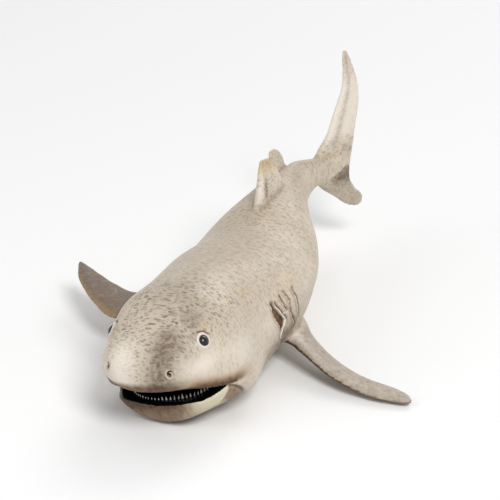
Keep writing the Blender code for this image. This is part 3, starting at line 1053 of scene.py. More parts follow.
def tube(name, points, radii, sides=12):
    """Sweeps a round tube along points, closed at both ends.

    Args:
        name: its name.
        points: an array (n, 3).
        radii: an array (n,).
        sides: points round it.

    Returns:
        The object, still in millimetres.
    """
    run = np.gradient(points, axis=0)
    run = run / np.linalg.norm(run, axis=1, keepdims=True)
    helper = np.array([0.31, -0.52, 0.79])
    first = np.cross(run, helper)
    first = first / np.linalg.norm(first, axis=1, keepdims=True)
    second = np.cross(run, first)
    turn = np.linspace(0.0, 2.0 * math.pi, sides, endpoint=False)
    rings = points[:, None, :] + radii[:, None, None] * (
        np.cos(turn)[None, :, None] * first[:, None, :]
        + np.sin(turn)[None, :, None] * second[:, None, :]
    )
    return Grid.loft(name, rings)


class SkinMesh:
    """The whole skin as one fine mesh, kept as arrays while it is worked on."""

    def __init__(self, mesh):
        """Reads a mesh into arrays.

        Args:
            mesh: a Blender mesh in millimetres.
        """
        self.mesh = mesh
        count = len(mesh.vertices)
        self.points = np.zeros(count * 3)
        mesh.vertices.foreach_get("co", self.points)
        self.points = self.points.reshape(-1, 3)
        self.edges = np.zeros(len(mesh.edges) * 2, np.int64)
        mesh.edges.foreach_get("vertices", self.edges)
        self.edges = self.edges.reshape(-1, 2)
        ends = self.edges.ravel()
        self.degree = np.maximum(np.bincount(ends, minlength=count), 1).astype(float)

    def around(self, values):
        """The mean of each point's neighbours.

        Args:
            values: an array (n, k) or (n,).

        Returns:
            An array of the same shape.
        """
        flat = values.ndim == 1
        values = values[:, None] if flat else values
        first, second = self.edges[:, 0], self.edges[:, 1]
        count = len(self.points)
        result = np.empty_like(values, dtype=float)
        for k in range(values.shape[1]):
            total = np.bincount(first, weights=values[second, k], minlength=count)
            total = total + np.bincount(second, weights=values[first, k], minlength=count)
            result[:, k] = total / self.degree
        return result[:, 0] if flat else result

    def relax(self, rounds, amount, weight=None):
        """Smooths the surface a little without shrinking it much.

        Args:
            rounds: how many times.
            amount: how far toward the neighbours' mean each time, from 0 to 1.
            weight: how much each point takes part, or None for all alike.
        """
        for _ in range(rounds):
            for step in (amount, -amount * 1.03):
                move = (self.around(self.points) - self.points) * step
                self.points = self.points + (move if weight is None else move * weight[:, None])

    def melt(self, rounds, amount, weight):
        """Smooths chosen places outright, which fills creases and rounds edges.

        Args:
            rounds: how many times.
            amount: how far toward the neighbours' mean each time.
            weight: how much each point takes part.
        """
        for _ in range(rounds):
            move = (self.around(self.points) - self.points) * amount
            self.points = self.points + move * weight[:, None]

    def write(self):
        """Puts the points back in the mesh."""
        self.mesh.vertices.foreach_set("co", self.points.astype(np.float32).ravel())
        self.mesh.update()

    def normals(self):
        """Gives the normal at each point.

        Returns:
            An array (n, 3).
        """
        self.write()
        normal = np.zeros(len(self.points) * 3)
        self.mesh.vertices.foreach_get("normal", normal)
        return normal.reshape(-1, 3)

    def hollowness(self, normal):
        """How far the neighbours stand above each point, in mm: more than 0 in a crease.

        Args:
            normal: the normals.

        Returns:
            An array (n,).
        """
        return ((self.around(self.points) - self.points) * normal).sum(1)

    def keep(self, name, values):
        """Keeps values with the mesh, for the paint.

        Args:
            name: the attribute's name.
            values: an array (n, 3).
        """
        layer = self.mesh.attributes.new(name, "FLOAT_VECTOR", "POINT")
        layer.data.foreach_set("vector", values.astype(np.float32).ravel())


class Shark:
    """The figurine: its skin, eyes, nostril flaps and teeth."""

    def __init__(self, fineness):
        """Sets up the forms.

        Args:
            fineness: a MeshFineness.
        """
        self.fineness = fineness
        self.form = BodyForm(Pose())
        self.mouth = Mouth(self.form, MouthSizes())
        self.eye = EyeSizes()
        self.nostril = NostrilSizes()
        self.fins = self.make_fins()

    def make_fins(self):
        """Sets up every fin.

        Returns:
            A dictionary from name to Fin.
        """
        form = self.form
        side, back = form.middle_line(form.pose.shoulder_along)
        move = np.array([float(side) - form.pose.flat_out, float(back), 0.0])
        fins = {}
        for name, rows in (("pectoral_left", LEFT_PECTORAL), ("pectoral_right", RIGHT_PECTORAL)):
            lead, trail = rows[:, 0:3] + move, rows[:, 3:6] + move
            fins[name] = Fin(name, lead, trail, rows[:, 6], self.fineness)
        tables = (
            ("dorsal_first", FIRST_DORSAL, 1.0),
            ("dorsal_second", SECOND_DORSAL, 1.0),
            ("pelvic_left", PELVIC, 1.0),
            ("pelvic_right", PELVIC, -1.0),
        )
        for name, rows, mirror in tables:
            lead = form.place(rows[:, 0], rows[:, 1] * mirror, rows[:, 2])
            trail = form.place(rows[:, 3], rows[:, 4] * mirror, rows[:, 5])
            fins[name] = Fin(name, lead, trail, rows[:, 6], self.fineness)
        plane = TailPlane()
        turn = float(form.heading(plane.heading_along))
        tilt = math.radians(plane.tilt)
        side, back = form.middle_line(plane.root_along)
        root = np.array([float(side), float(back), plane.root_up])
        rearward = np.array([math.sin(turn), math.cos(turn), 0.0])
        sideways = np.array([math.cos(turn), -math.sin(turn), 0.0])
        upward = math.cos(tilt) * np.array([0.0, 0.0, 1.0]) - math.sin(tilt) * sideways
        rows = TAIL_FIN
        lead = form.lean_over(root + rows[:, 0:1] * rearward + rows[:, 1:2] * upward)
        trail = form.lean_over(root + rows[:, 2:3] * rearward + rows[:, 3:4] * upward)
        fins["tail"] = Fin("tail", lead, trail, rows[:, 4], self.fineness)
        return fins

    def body_solid(self):
        """The body without fins, with the mouth cut open.

        Returns:
            The object, in millimetres.
        """
        degrees = np.arange(self.fineness.body_sides) * 360.0 / self.fineness.body_sides
        nose_end = 4.0
        nose = nose_end * np.linspace(0.0, 1.0, 25)[1:-1] ** 3
        part = np.linspace(0.0, 1.0, self.fineness.body_rings)
        rest = nose_end + (self.form.length - nose_end) * (0.55 * part + 0.45 * part ** 2)
        along = np.concatenate([nose, rest])
        rings = self.form.skin(along[:, None], degrees[None, :])
        body = Grid.loft("body", rings)
        for cutter in (self.mouth.gap_cutter(), self.mouth.gullet_cutter()):
            modifier = body.modifiers.new(cutter.name, "BOOLEAN")
            modifier.operation = "DIFFERENCE"
            modifier.solver = "EXACT"
            modifier.object = cutter
        mesh = evaluated_mesh(body)
        remove_objects([o for o in bpy.data.objects if o.name.startswith("cut_")] + [body])
        item = bpy.data.objects.new("body_cut", mesh)
        bpy.context.scene.collection.objects.link(item)
        return item

    def lid_ring(self, side):
        """The ring of lid round an eye, dark where it meets the ball: a brown edge with painted
        shade in the gap.

        Args:
            side: a Side.

        Returns:
            The finished object, in metres.
        """
        eye = self.eye
        angle = self.form.angle_of(eye.angle, side)
        point, rear, around, outward = self.form.frame_at(eye.along, angle)
        turns, sides = 96, 20
        turn = np.linspace(0.0, 2.0 * math.pi, turns, endpoint=False)[:, None]
        small = np.linspace(0.0, 2.0 * math.pi, sides, endpoint=False)[None, :]
        up = np.sin(turn) * side.value
        thick = eye.lid_half_thickness * (1.0 + 0.22 * up - 0.12 * np.cos(2.0 * turn))
        reach = eye.lid_radius + thick * np.cos(small) * (1.0 + 0.5 * (np.cos(small) > 0.0))
        lift = 0.14 + 0.1 * up + thick * np.sin(small)
        reach, lift, turn = np.broadcast_arrays(reach, lift, turn)
        rings = (
            point
            + (reach * np.cos(turn))[..., None] * rear
            + (reach * np.sin(turn))[..., None] * around
            + (lift - reach ** 2 / 34.0)[..., None] * outward
        )
        item = Grid.object("lid_" + side.name.lower(), rings, Grid.band_faces(turns, sides))
        near_ball = ease((eye.lid_radius - 0.1 - reach) / 0.1)
        return self.dress_small(item, 0.7 * (1.0 - near_ball), 0.95 * near_ball)

    def dress_small(self, item, pale, wash):
        """Gives a small piece the paint masks that the skin has.

        Args:
            item: the object, in millimetres.
            pale, wash: arrays with a value for each point; the second is brown paint and painted
                shade.

        Returns:
            The same object, in metres.
        """
        small = SkinMesh(item.data)
        along, out, up = self.form.read(small.points)
        arc = self.form.girth_place(along, self.form.height(along, out, up)[1])
        count = len(small.points)
        pale = np.broadcast_to(np.asarray(pale, float).ravel(), (count,))
        wash = np.broadcast_to(np.asarray(wash, float).ravel(), (count,))
        none = np.zeros(count)
        small.keep("body_place", np.stack([along, out, up], axis=1))
        small.keep("skin_place", np.stack([along, arc, none], axis=1))
        small.keep("paint_pale_wash_inside", np.stack([pale, wash, none], axis=1))
        for name in ("gill_first", "gill_last", "eye_place", "nose_place"):
            small.keep(name, np.full((count, 3), FAR))
        for name in ("gill_first_ends", "gill_last_ends"):
            small.keep(name, np.zeros((count, 3)))
        return to_metres(item)

    def gill_edges(self):
        """The thin free edges of the gill flaps, as fine tapered cords set in the skin.

        Returns:
            The finished object, in metres.
        """
        cords = []
        for side in Side:
            for number, ridge in enumerate(GILLS + (GILL_BRIDGE,)):
                low = ridge.angles[0]
                if side is not Side.LEFT:
                    low = max(low, GILL_FOOT_RIGHT)
                share = np.linspace(0.0, 1.0, 64)
                angle = low + (ridge.angles[-1] - low) * share
                along = smooth_curve(ridge.angles, ridge.alongs, angle)
                along = along + 0.07 * np.sin(17.0 * share + 2.0 * number) - 0.1
                degrees = self.form.angle_of(angle, side)
                surface = self.form.skin(along, degrees)
                ahead = self.form.skin(along + 0.2, degrees) - surface
                around = self.form.skin(along, degrees + 1.0) - surface
                outward = np.cross(around, ahead)
                outward = outward / np.linalg.norm(outward, axis=1, keepdims=True)
                lift = np.maximum(self.gill_lift(along, degrees), 0.0) + 0.12
                body = np.sin(np.pi * (0.03 + 0.94 * share)) ** 0.6
                uneven = 1.0 + 0.22 * np.sin(11.0 * share + number) * np.sin(29.0 * share)
                cords.append(tube(
                    "cord", surface + lift[:, None] * outward, GILL_EDGE_RADIUS * body * uneven, 10,
                ))
        # the cords are pale: painted highlight on the raised gill edges
        return self.dress_small(join_objects("gill_edges", cords), 1.0, 0.0)

    def eye_ball(self, side):
        """The glossy eyeball.

        Args:
            side: a Side.

        Returns:
            The object, in millimetres.
        """
        eye = self.eye
        angle = self.form.angle_of(eye.angle, side)
        point, rear, around, outward = self.form.frame_at(eye.along, angle)
        centre = point - outward * eye.sunk
        rings = centre
        for share, way in zip(ball_rings(48, 28, 0.03), (outward, rear, around)):
            rings = rings + eye.ball_radius * share[..., None] * way
        return Grid.loft("eye_" + side.name.lower(), rings)

    def nostril_flap(self, side):
        """The curled flap round a nostril, as a tube that winds inward.

        Args:
            side: a Side.

        Returns:
            The finished object, in metres.
        """
        size = self.nostril
        angle = self.form.angle_of(size.angle, side)
        point, rear, around, outward = self.form.frame_at(size.along, angle)
        turn = np.radians(np.linspace(118.0, -262.0, 110))
        share = np.linspace(0.0, 1.0, 110)
        reach = size.radius * (1.0 - 0.6 * fade(share, 0.5, 1.0))
        x = -reach * np.cos(turn) * 0.86
        y = reach * np.sin(turn) * side.value
        sink = 0.04 - (x ** 2 + y ** 2) / 22.0 - 0.22 * fade(share, 0.6, 1.0)
        middle = point + x[:, None] * rear + y[:, None] * around + sink[:, None] * outward
        radii = size.flap_half_thickness * np.sin(np.pi * (0.04 + 0.92 * share)) ** 0.5
        item = tube("flap_" + side.name.lower(), middle, radii, 16)
        return self.dress_small(item, 0.15, 0.05)

    def skin_object(self):
        """Joins every solid of the skin, remeshes them as one surface and works it over.

        Returns:
            The finished object, in metres.
        """
        parts = [self.body_solid()] + [fin.solid() for fin in self.fins.values()]
        joined = join_objects("skin", parts)
        modifier = joined.modifiers.new("one_surface", "REMESH")
        modifier.mode = "VOXEL"
        modifier.voxel_size = self.fineness.voxel
        mesh = evaluated_mesh(joined)
        remove_objects([joined])
        LOG.info("skin: %d vertices", len(mesh.vertices))
        skin = SkinMesh(mesh)
        self.work_over(skin)
        item = bpy.data.objects.new("skin", mesh)
        bpy.context.scene.collection.objects.link(item)
        return to_metres(item)

    def work_over(self, skin):
        """Rounds the seams, carves the details and keeps the paint masks.

        Args:
            skin: a SkinMesh.
        """
        fineness = self.fineness
        skin.relax(fineness.relax_all, 0.5)
        along, out, up = self.form.read(skin.points)
        height, degrees = self.form.height(along, out, up)
        lips = self.lip_nearness(along, out, up, height)
        head_detail = self.detail_nearness(along, degrees)
        hollow = ease(skin.hollowness(skin.normals()) / 0.05)
        for _ in range(3):
            hollow = np.maximum(hollow, skin.around(hollow))
        seams = hollow * (1.0 - head_detail) * (1.0 - lips)
        skin.melt(fineness.relax_seams, 0.5, seams)
        skin.melt(4, 0.5, lips)
        skin.relax(4, 0.5, 1.0 - 0.7 * head_detail)

        along, out, up = self.form.read(skin.points)
        height, degrees = self.form.height(along, out, up)
        normal = skin.normals()
        on_body = fade(height, 1.3, 0.4)
        lift = self.gill_lift(along, degrees) * on_body
        lift = lift + self.soft_forms(along, degrees) * on_body * fade(height, -1.2, -0.4)
        lift = lift + self.spot_forms(along, degrees) * on_body * fade(height, -1.2, -0.4)
        crack, open_end = self.corner_distance(along, out, up)
        fold = open_end * fade(along, 27.0, 21.0) * bump(crack, -0.1, 0.6)
        lift = lift - 0.7 * fold * fade(height, -1.6, -0.8)
        skin.points = skin.points + normal * lift[:, None]
        skin.points[:, 2] = np.maximum(skin.points[:, 2], 0.0)
        self.keep_masks(skin, along, out, up, height, degrees)

    def lip_nearness(self, along, out, up, height):
        """Marks the edges of the lips.

        Args:
            along, out, up: body coordinates.
            height: distance from the skin.

        Returns:
            Values from 0 to 1.
        """
        sizes = self.mouth.sizes
        flat_up = up - sizes.twist * out
        inside = fade(along, 19.5, 18.5)
        upper = bump(flat_up, self.mouth.lip(sizes.upper, along), 0.7)
        lower = bump(flat_up, self.mouth.lip(sizes.lower, along), 0.7)
        return np.maximum(upper, lower) * bump(height, -0.1, 0.9) * inside

    def detail_nearness(self, along, degrees):
        """Marks the lids and the nostril flaps, which stay crisp.

        Args:
            along, degrees: skin coordinates.

        Returns:
            Values from 0 to 1.
        """
        result = np.zeros_like(along)
        for spot, reach in ((self.eye, 2.8), (self.nostril, 2.2)):
            away = self.near_spot(along, degrees, spot)[..., 2]
            result = np.maximum(result, ease((reach - away) / 0.6))
        return result

    def near_spot(self, along, degrees, spot):
        """Where places lie from an eye or a nostril of their own side.

        Args:
            along, degrees: skin coordinates.
            spot: an EyeSizes or a NostrilSizes.

        Returns:
            An array (n, 3) in mm: toward the tail, upward and the distance.
        """
        here = self.form.skin(np.clip(along, 0.05, None), degrees)
        left = np.cos(np.radians(degrees)) > 0.0
        result = np.zeros(here.shape)
        for side in Side:
            frame = self.form.frame_at(spot.along, self.form.angle_of(spot.angle, side))
            gap = here - frame[0]
            place = gap @ frame[1], gap @ frame[2] * side.value, np.linalg.norm(gap, axis=-1)
            place = np.stack(place, axis=-1)
            mine = left if side is Side.LEFT else ~left
            result = np.where(mine[..., None], place, result)
        return np.clip(result, -FAR, FAR)

    def spot_forms(self, along, degrees):
        """The swelling that carries each lid, the fold over it and the pit of each nostril.

        Args:
            along, degrees: skin coordinates.

        Returns:
            The lift in mm.
        """
        eye = self.near_spot(along, degrees, self.eye)
        nose = self.near_spot(along, degrees, self.nostril)
        swelling = 0.26 * bump(eye[..., 2], self.eye.lid_radius + 0.3, 0.7)
        socket = -0.5 * ease((self.eye.lid_radius - eye[..., 2]) / 0.5)
        above = fade(eye[..., 0], -0.9, 0.3) * fade(eye[..., 1], -0.2, 0.8)
        fold = -0.42 * bump(eye[..., 2], self.eye.fold_radius + 0.15, 0.34) * above
        pit = -self.nostril.pit_depth * ease((self.nostril.pit_radius + 0.15 - nose[..., 2]) / 0.5)
        rim = 0.15 * bump(nose[..., 2], self.nostril.radius + 0.35, 0.5)
        return swelling + socket + fold + pit + rim

    def gill_past(self, along, degrees):
        """How far tailward of each gill edge a place lies, and how much the edge counts there.

        Args:
            along, degrees: skin coordinates.

        Returns:
            Two arrays (n, 5): the distance in mm and a share from 0 to 1.
        """
        angle = self.form.folded(degrees)
        right = np.abs(degrees) > 90.0
        past, ends = [], []
        for ridge in GILLS:
            foot = np.where(right, max(ridge.angles[0], GILL_FOOT_RIGHT), ridge.angles[0])
            past.append(along - smooth_curve(ridge.angles, ridge.alongs, angle))
            above, below = angle - foot, ridge.angles[-1] - angle
            ends.append(fade(above, -1.0, 4.0) * fade(below, -1.0, 4.0))
        return np.stack(past, axis=-1), np.stack(ends, axis=-1)

    def slit_share(self, past, number):
        """How much of a slit lies behind a gill edge: the first reaches to the second edge.

        Args:
            past: the distances of gill_past.
            number: which edge.

        Returns:
            Values from 0 to 1.
        """
        left = -past[..., 1] if number == 0 else GILLS[number].run - past[..., number]
        return fade(left, -0.3, 0.6)

    def gill_lift(self, along, degrees):
        """The gill flaps: each rises to its free edge and drops into the slit behind it.

        Args:
            along, degrees: skin coordinates.

        Returns:
            The lift in mm.
        """
        past, ends = self.gill_past(along, degrees)
        lift = np.zeros_like(along)
        for number, ridge in enumerate(GILLS):
            here = past[..., number]
            before = ridge.rise * np.exp(np.minimum(here, 0.0) / 1.1)
            behind = -ridge.slit * self.slit_share(past, number)
            soft = fade(here, -0.1, 0.4)
            lift = lift + (before * (1.0 - soft) + behind * soft) * ends[..., number]
        return lift

    def soft_forms(self, along, degrees):
        """The broad swellings of the head: cheeks, brows and the groove behind the jaw.

        Args:
            along, degrees: skin coordinates.

        Returns:
            The lift in mm.
        """
        angle = self.form.folded(degrees)
        lift = np.zeros_like(along)
        for item in SWELLINGS:
            shape = bump(along, item.along, item.length) * bump(angle, item.angle, item.spread)
            lift = lift + item.height * shape
        return lift

    def zone_masks(self, along, degrees):
        """Adds up the soft patches of the table.

        Args:
            along, degrees: skin coordinates.

        Returns:
            A dictionary from a paint's name to values from 0 to 1.
        """
        masks = {zone.paint: np.zeros_like(along) for zone in ZONES}
        for zone in ZONES:
            turn = (degrees - zone.angle + 180.0) % 360.0 - 180.0
            patch = bump(along, zone.along, zone.length) * bump(turn, 0.0, zone.spread)
            patch = zone.amount * patch
            masks[zone.paint] = 1.0 - (1.0 - masks[zone.paint]) * (1.0 - patch)
        return masks

    def lip_masks(self, along, out, up, height, angle):
        """The paint round the mouth.

        Args:
            along, out, up: body coordinates.
            height: distance from the skin.
            angle: the angle round the body, folded to the left side.

        Returns:
            The black inside, the lip band, the lower jaw, and the brown of the lips and gum with
            painted shade under the snout, on the jaw and under the cheek.
        """
        sizes = self.mouth.sizes
        flat_up = up - sizes.twist * out
        over_lip = flat_up - self.mouth.lip(sizes.upper, along)
        under_lip = self.mouth.lip(sizes.lower, along) - flat_up
        inside = fade(height, -0.22, -0.52) ** 2 * fade(along, 30.0, 29.0)
        band = fade(over_lip, 3.8, 1.6) * fade(over_lip, -0.6, 0.0)
        band = band * fade(along, 30.0, 16.0) * fade(along, 2.5, 6.5)
        band = band * fade(angle, 6.0, -2.0)
        jaw = fade(under_lip, -0.4, 0.1) * fade(along, 22.0, 18.0)
        jaw = jaw * fade(angle, 20.0, 10.0)
        skull = 1.0 - jaw

        # corner: painted shade under the cheek's bulge, back and down from the mouth's corner
        crack, open_end = self.corner_distance(along, out, up)
        corner = open_end * fade(crack, 0.6, -1.2) * fade(crack, -5.0, -2.0)
        corner = corner * fade(along, 30.0, 24.0)
        # under: painted shadow under the snout; edge: the dark line over the upper lip
        under = fade(over_lip, 3.9, 1.5) * fade(along, 10.0, 4.0)
        under = under * fade(over_lip, -1.0, -0.2) * fade(out, 14.0, 5.0)
        edge = fade(over_lip, 2.6, 0.2) * fade(over_lip, -0.6, 0.0)
        edge = edge * fade(along, 4.0, 8.0) * fade(along, 24.0, 18.0)
        # shade: brown paint and painted shade on the jaw under the snout; gum: the black gum; low:
        # darker toward the jaw's bottom
        shade = jaw * fade(out, 12.0, 3.0)
        shade = shade * (0.45 + 0.55 * fade(under_lip, 4.4, 0.4))
        gum = jaw * fade(out, 1.5, -3.5) * fade(under_lip, 3.4, 1.8)
        low = jaw * fade(under_lip, 4.2, 7.7)
        browns = (
            0.85 * shade, gum, 0.5 * low,
            0.8 * under * skull, 0.85 * edge * skull, 0.62 * corner,
        )
        brown = np.max(np.stack(browns), axis=0)
        return inside, band, jaw, brown

    def lip_gap(self, along, out, up):
        """How high over the upper lip's line a place lies.

        Args:
            along, out, up: body coordinates.

        Returns:
            A share: 0.5 on the line and 0 or 1 at 2 mm from it or off the mouth.
        """
        flat_up = up - self.mouth.sizes.twist * out
        over_lip = flat_up - self.mouth.lip(self.mouth.sizes.upper, along)
        return np.clip(over_lip / 4.0 + 0.5 + 50.0 * (1.0 - fade(along, 21.0, 19.5)), 0.0, 1.0)

    def corner_distance(self, along, out, up):
        """How far a place lies from the fold that runs back and down from the mouth's corner.

        Args:
            along, out, up: body coordinates.

        Returns:
            The distance in mm, more than 0 above the fold, and how much the fold counts there.
        """
        flat_up = up - self.mouth.sizes.twist * out
        line = smooth_curve((15.5, 17.7, 21.1, 25.0, 28.0), (9.5, 8.7, 6.5, 3.4, 1.5), along)
        ends = fade(along, 16.5, 17.5) * fade(along, 30.0, 26.0)
        ends = ends * fade(np.abs(out), 7.0, 9.0)
        return np.clip((flat_up - line) * 0.8, -FAR, FAR), ends

    def fin_masks(self, skin, height, masks):
        """The paint of the fins, with painted shade and painted highlight on some, and their own
        places for the flecks.

        Args:
            skin: a SkinMesh.
            height: distance from the body's skin.
            masks: a dictionary of masks, changed in place.

        Returns:
            Which points lie on a fin, and their place on it (n, 2) in mm.
        """
        where = np.nonzero(height > 0.5)[0]
        nearest = np.full(len(where), 9.0)
        spot = {}
        for name, item in self.fins.items():
            span, chord, face, gap = item.locate(skin.points[where])
            closer = gap < nearest
            nearest = np.where(closer, gap, nearest)
            spot[name] = (closer, span, chord, face)
        taken = np.zeros(len(where), bool)
        on_fin = np.zeros(len(height), bool)
        place = np.zeros((len(height), 2))

        def lay(mask, target, values):
            """Raises a mask on some points."""
            masks[mask][target] = np.maximum(masks[mask][target], values)

        for name in reversed(list(self.fins)):
            closer, span, chord, face = spot[name]
            mine = closer & ~taken
            taken |= closer
            at = where[mine]
            span, chord, face = span[mine], chord[mine], face[mine]
            away = fade(height[at], 0.5, 3.0)
            rim = bump(chord, 0.0, 0.07)
            on_fin[at] = True
            length, width = self.fins[name].size
            place[at] = np.stack([length * span, width * chord], axis=1)
            if name == "dorsal_first":
                lay("pale", at, 0.32 * away)
                lay("ochre", at, 0.75 * fade(span, 0.62, 0.92))
                # the shade mask here is the brown paint of the tip
                lay("shade", at, 0.4 * fade(span, 0.7, 0.95))
                lay("pale", at, 0.95 * bump(chord, 0.08, 0.08) * fade(span, 1.0, 0.8) * away)
                # painted shade in a crease behind the pale leading edge
                lay("wash", at, 0.55 * bump(chord, 0.24, 0.05) * fade(span, 0.8, 0.5) * away)
            elif name == "dorsal_second":
                lay("pale", at, 0.3 * away)
                lay("ochre", at, 0.3 * fade(span, 0.5, 0.9))
                # the shade mask here darkens the fin toward its tip
                lay("shade", at, 0.25 * fade(span, 0.5, 0.9))
            elif name == "tail":
                # pale upper lobe with painted highlight from above; painted shade at the fork and
                # on the lower lobe, which faces down; a darker line along the lobe
                lay("pale", at, 0.95 * fade(span, 0.42, 0.56) * fade(span, 1.02, 0.77))
                lay("smoke", at, 0.95 * bump(span, 0.255, 0.07) * fade(chord, 0.2, 0.5))
                lay("smoke", at, 0.3 * fade(span, 0.3, 0.2))
                lay("smoke", at, 0.35 * bump(chord, 0.33, 0.1) * fade(span, 0.4, 0.5))
            elif name == "pectoral_right":
                # the whole face is painted shade; ochre and pale on the leading edge are a painted
                # highlight
                lay("smoke", at, 1.0 * away)
                lay("shade", at, 0.85 * away)
                lay("ochre", at, 0.7 * bump(chord, 0.0, 0.1) * fade(span, 0.25, 0.45))
                lay("pale", at, 0.5 * rim)
            elif name == "pectoral_left":
                lay("smoke", at, 0.42 * away)
                lay("smoke", at, 0.45 * fade(span, 0.8, 0.95))
                upper, lower = face > 0.0, face < 0.0
                lay("pale", at, 0.9 * bump(span, 0.14, 0.08) * bump(chord, 0.16, 0.12) * upper)
                # painted shade under the leading edge and on the underside
                lead = fade(chord, 0.12, 0.06) * fade(span, 0.9, 0.6)
                lay("wash", at, 0.95 * lead * lower)
                lay("wash", at, 0.35 * lower * away)
        return on_fin, place

    def keep_masks(self, skin, along, out, up, height, degrees):
        """Works out where each paint goes and keeps it with the mesh.

        Args:
            skin: a SkinMesh.
            along, out, up: body coordinates.
            height, degrees: distance from the skin and angle round the body.
        """
        angle = self.form.folded(degrees)
        on_body = fade(height, 1.5, 0.6)
        inside, band, jaw, brown = self.lip_masks(along, out, up, height, angle)
        masks = self.zone_masks(along, degrees)
        front = fade(up, 12.0, 14.0)
        # right_snout: pale paint with painted highlight on the snout's right side; middle: the
        # grey-brown band down the snout
        right_snout = bump(out, -4.6, 4.6) * fade(along, 8.5, 2.5) * front
        middle = bump(out, 6.6, 3.7) * fade(along, 15.0, 6.0) * front
        masks["pale"] = np.maximum(masks["pale"], right_snout)
        masks["pale"] *= 1.0 - 0.8 * bump(out, 6.6, 3.2) * fade(along, 8.0, 4.0)
        masks["smoke"] = np.maximum(masks["smoke"], 0.82 * middle)
        masks = {name: mask * on_body for name, mask in masks.items()}
        masks["shade"] = np.zeros_like(along)
        no_lips = (1.0 - band) * (1.0 - jaw)
        masks["pale"] = np.maximum(masks["pale"] * no_lips, 0.0)

        normal = skin.normals()
        hollow = skin.hollowness(normal)
        for _ in range(2):
            hollow = 0.5 * hollow + 0.5 * skin.around(hollow)
        # crease: painted shade in the creases; ridge: painted highlight on the ridges
        crease = fade(hollow, 0.006, 0.051) * (1.0 - inside)
        ridge = ease(-hollow / 0.05) * (1.0 - inside)
        masks["wash"] = np.maximum(0.6 * crease, brown)
        # painted shade in each gill slit, under the raised edge of the flap before it
        past, ends = self.gill_past(along, degrees)
        for number, gill in enumerate(GILLS):
            slit = fade(past[:, number], -0.1, 0.3) * self.slit_share(past, number)
            low = 0.85 + 0.15 * fade(angle, 12.0, 0.0)
            slit = gill.depth * slit * ends[:, number] * low * on_body * fade(height, 1.0, 0.5)
            masks["wash"] = np.maximum(masks["wash"], slit)
        nose = self.near_spot(along, degrees, self.nostril)
        eye = self.near_spot(along, degrees, self.eye)
        round_eye = 0.8 * bump(eye[:, 2], 2.1, 0.5) * on_body
        round_nose = 0.55 * bump(nose[:, 2], 1.5, 0.5) * on_body
        # pale paint round the lids and nostrils, and painted highlight on the ridges
        for patch in (round_eye, round_nose, 0.35 * ridge):
            masks["pale"] = np.maximum(masks["pale"], patch)
        on_fin, fin_place = self.fin_masks(skin, height, masks)

        head = fade(along, 36.0, 24.0)
        top = fade(angle, 22.0, 47.0)
        spotty = 0.42 + 0.25 * top + 0.33 * head * top
        spotty = spotty * (1.0 - 0.85 * np.clip(masks["pale"], 0.0, 1.0)) * no_lips
        spotty = np.maximum(spotty, 0.85 * middle * (1.0 - band))
        back = fade(angle, 30.0, 75.0) * fade(along, 26.0, 51.0) * on_body
        arc = self.form.girth_place(along, degrees)
        nose_end = fade(along, 10.0, 4.0)
        ahead = along * (1.0 - nose_end) + (0.5 * along + up - 24.0) * nose_end
        arc = arc * (1.0 - nose_end) - out * nose_end
        skin_place = np.stack([ahead, arc, on_fin.astype(float)], axis=1)
        skin_place[on_fin, :2] = fin_place[on_fin]
        ends = ends * fade(height, 1.0, 0.5)[:, None] * (~on_fin)[:, None]
        past = np.clip(past, -FAR, FAR)

        def keep(name, *values):
            """Keeps three masks under one name."""
            skin.keep(name, np.clip(np.stack(values, axis=1), 0.0, 1.0))

        skin.keep("body_place", np.stack([along, out, up], axis=1))
        skin.keep("skin_place", skin_place)
        crack, open_end = self.corner_distance(along, out, up)
        skin.keep("gill_first", past[:, :3])
        skin.keep("gill_last", np.stack([past[:, 3], past[:, 4], crack], axis=1))
        skin.keep("gill_first_ends", ends[:, :3])
        skin.keep("gill_last_ends", np.stack([ends[:, 3], ends[:, 4], open_end], axis=1))
        skin.keep("eye_place", eye + FAR * (1.0 - on_body)[:, None])
        skin.keep("nose_place", nose + FAR * (1.0 - on_body)[:, None])
        keep("paint_pale_wash_inside", masks["pale"], masks["wash"], inside)
        keep("paint_band_jaw_back", band, jaw, back)
        keep("paint_spots_ochre_shade", spotty, masks["ochre"], masks["shade"])
        # the jaw's brown streaks, with painted shade under the snout
        streak = jaw * fade(out, 13.0, 5.0)
        keep("paint_smoke_streak_lip", masks["smoke"], streak, self.lip_gap(along, out, up))


def evaluated_mesh(item):
    """Applies an object's modifiers.

    Args:
        item: the object.

    Returns:
        A new mesh.
    """
    bpy.context.view_layer.update()
    graph = bpy.context.evaluated_depsgraph_get()
    return bpy.data.meshes.new_from_object(item.evaluated_get(graph))


def remove_objects(items):
    """Removes working objects.

    Args:
        items: a list of objects.
    """
    for item in items:
        bpy.data.objects.remove(item, do_unlink=True)


def join_objects(name, items):
    """Joins objects into one mesh object.

    Args:
        name: the new object's name.
        items: objects that sit at the origin.

    Returns:
        The new object; the old ones are removed.
    """
    shape = bmesh.new()
    for item in items:
        shape.from_mesh(item.data)
    mesh = bpy.data.meshes.new(name)
    shape.to_mesh(mesh)
    shape.free()
    remove_objects(items)
    result = bpy.data.objects.new(name, mesh)
    bpy.context.scene.collection.objects.link(result)
    return result


def to_metres(item):
    """Turns a mesh from millimetres into metres and shades it smooth.

    Args:
        item: the object.

    Returns:
        The same object.
    """
    item.data.transform(Matrix.Scale(MM, 4))
    item.data.shade_smooth()
    item.data.update()
    return item


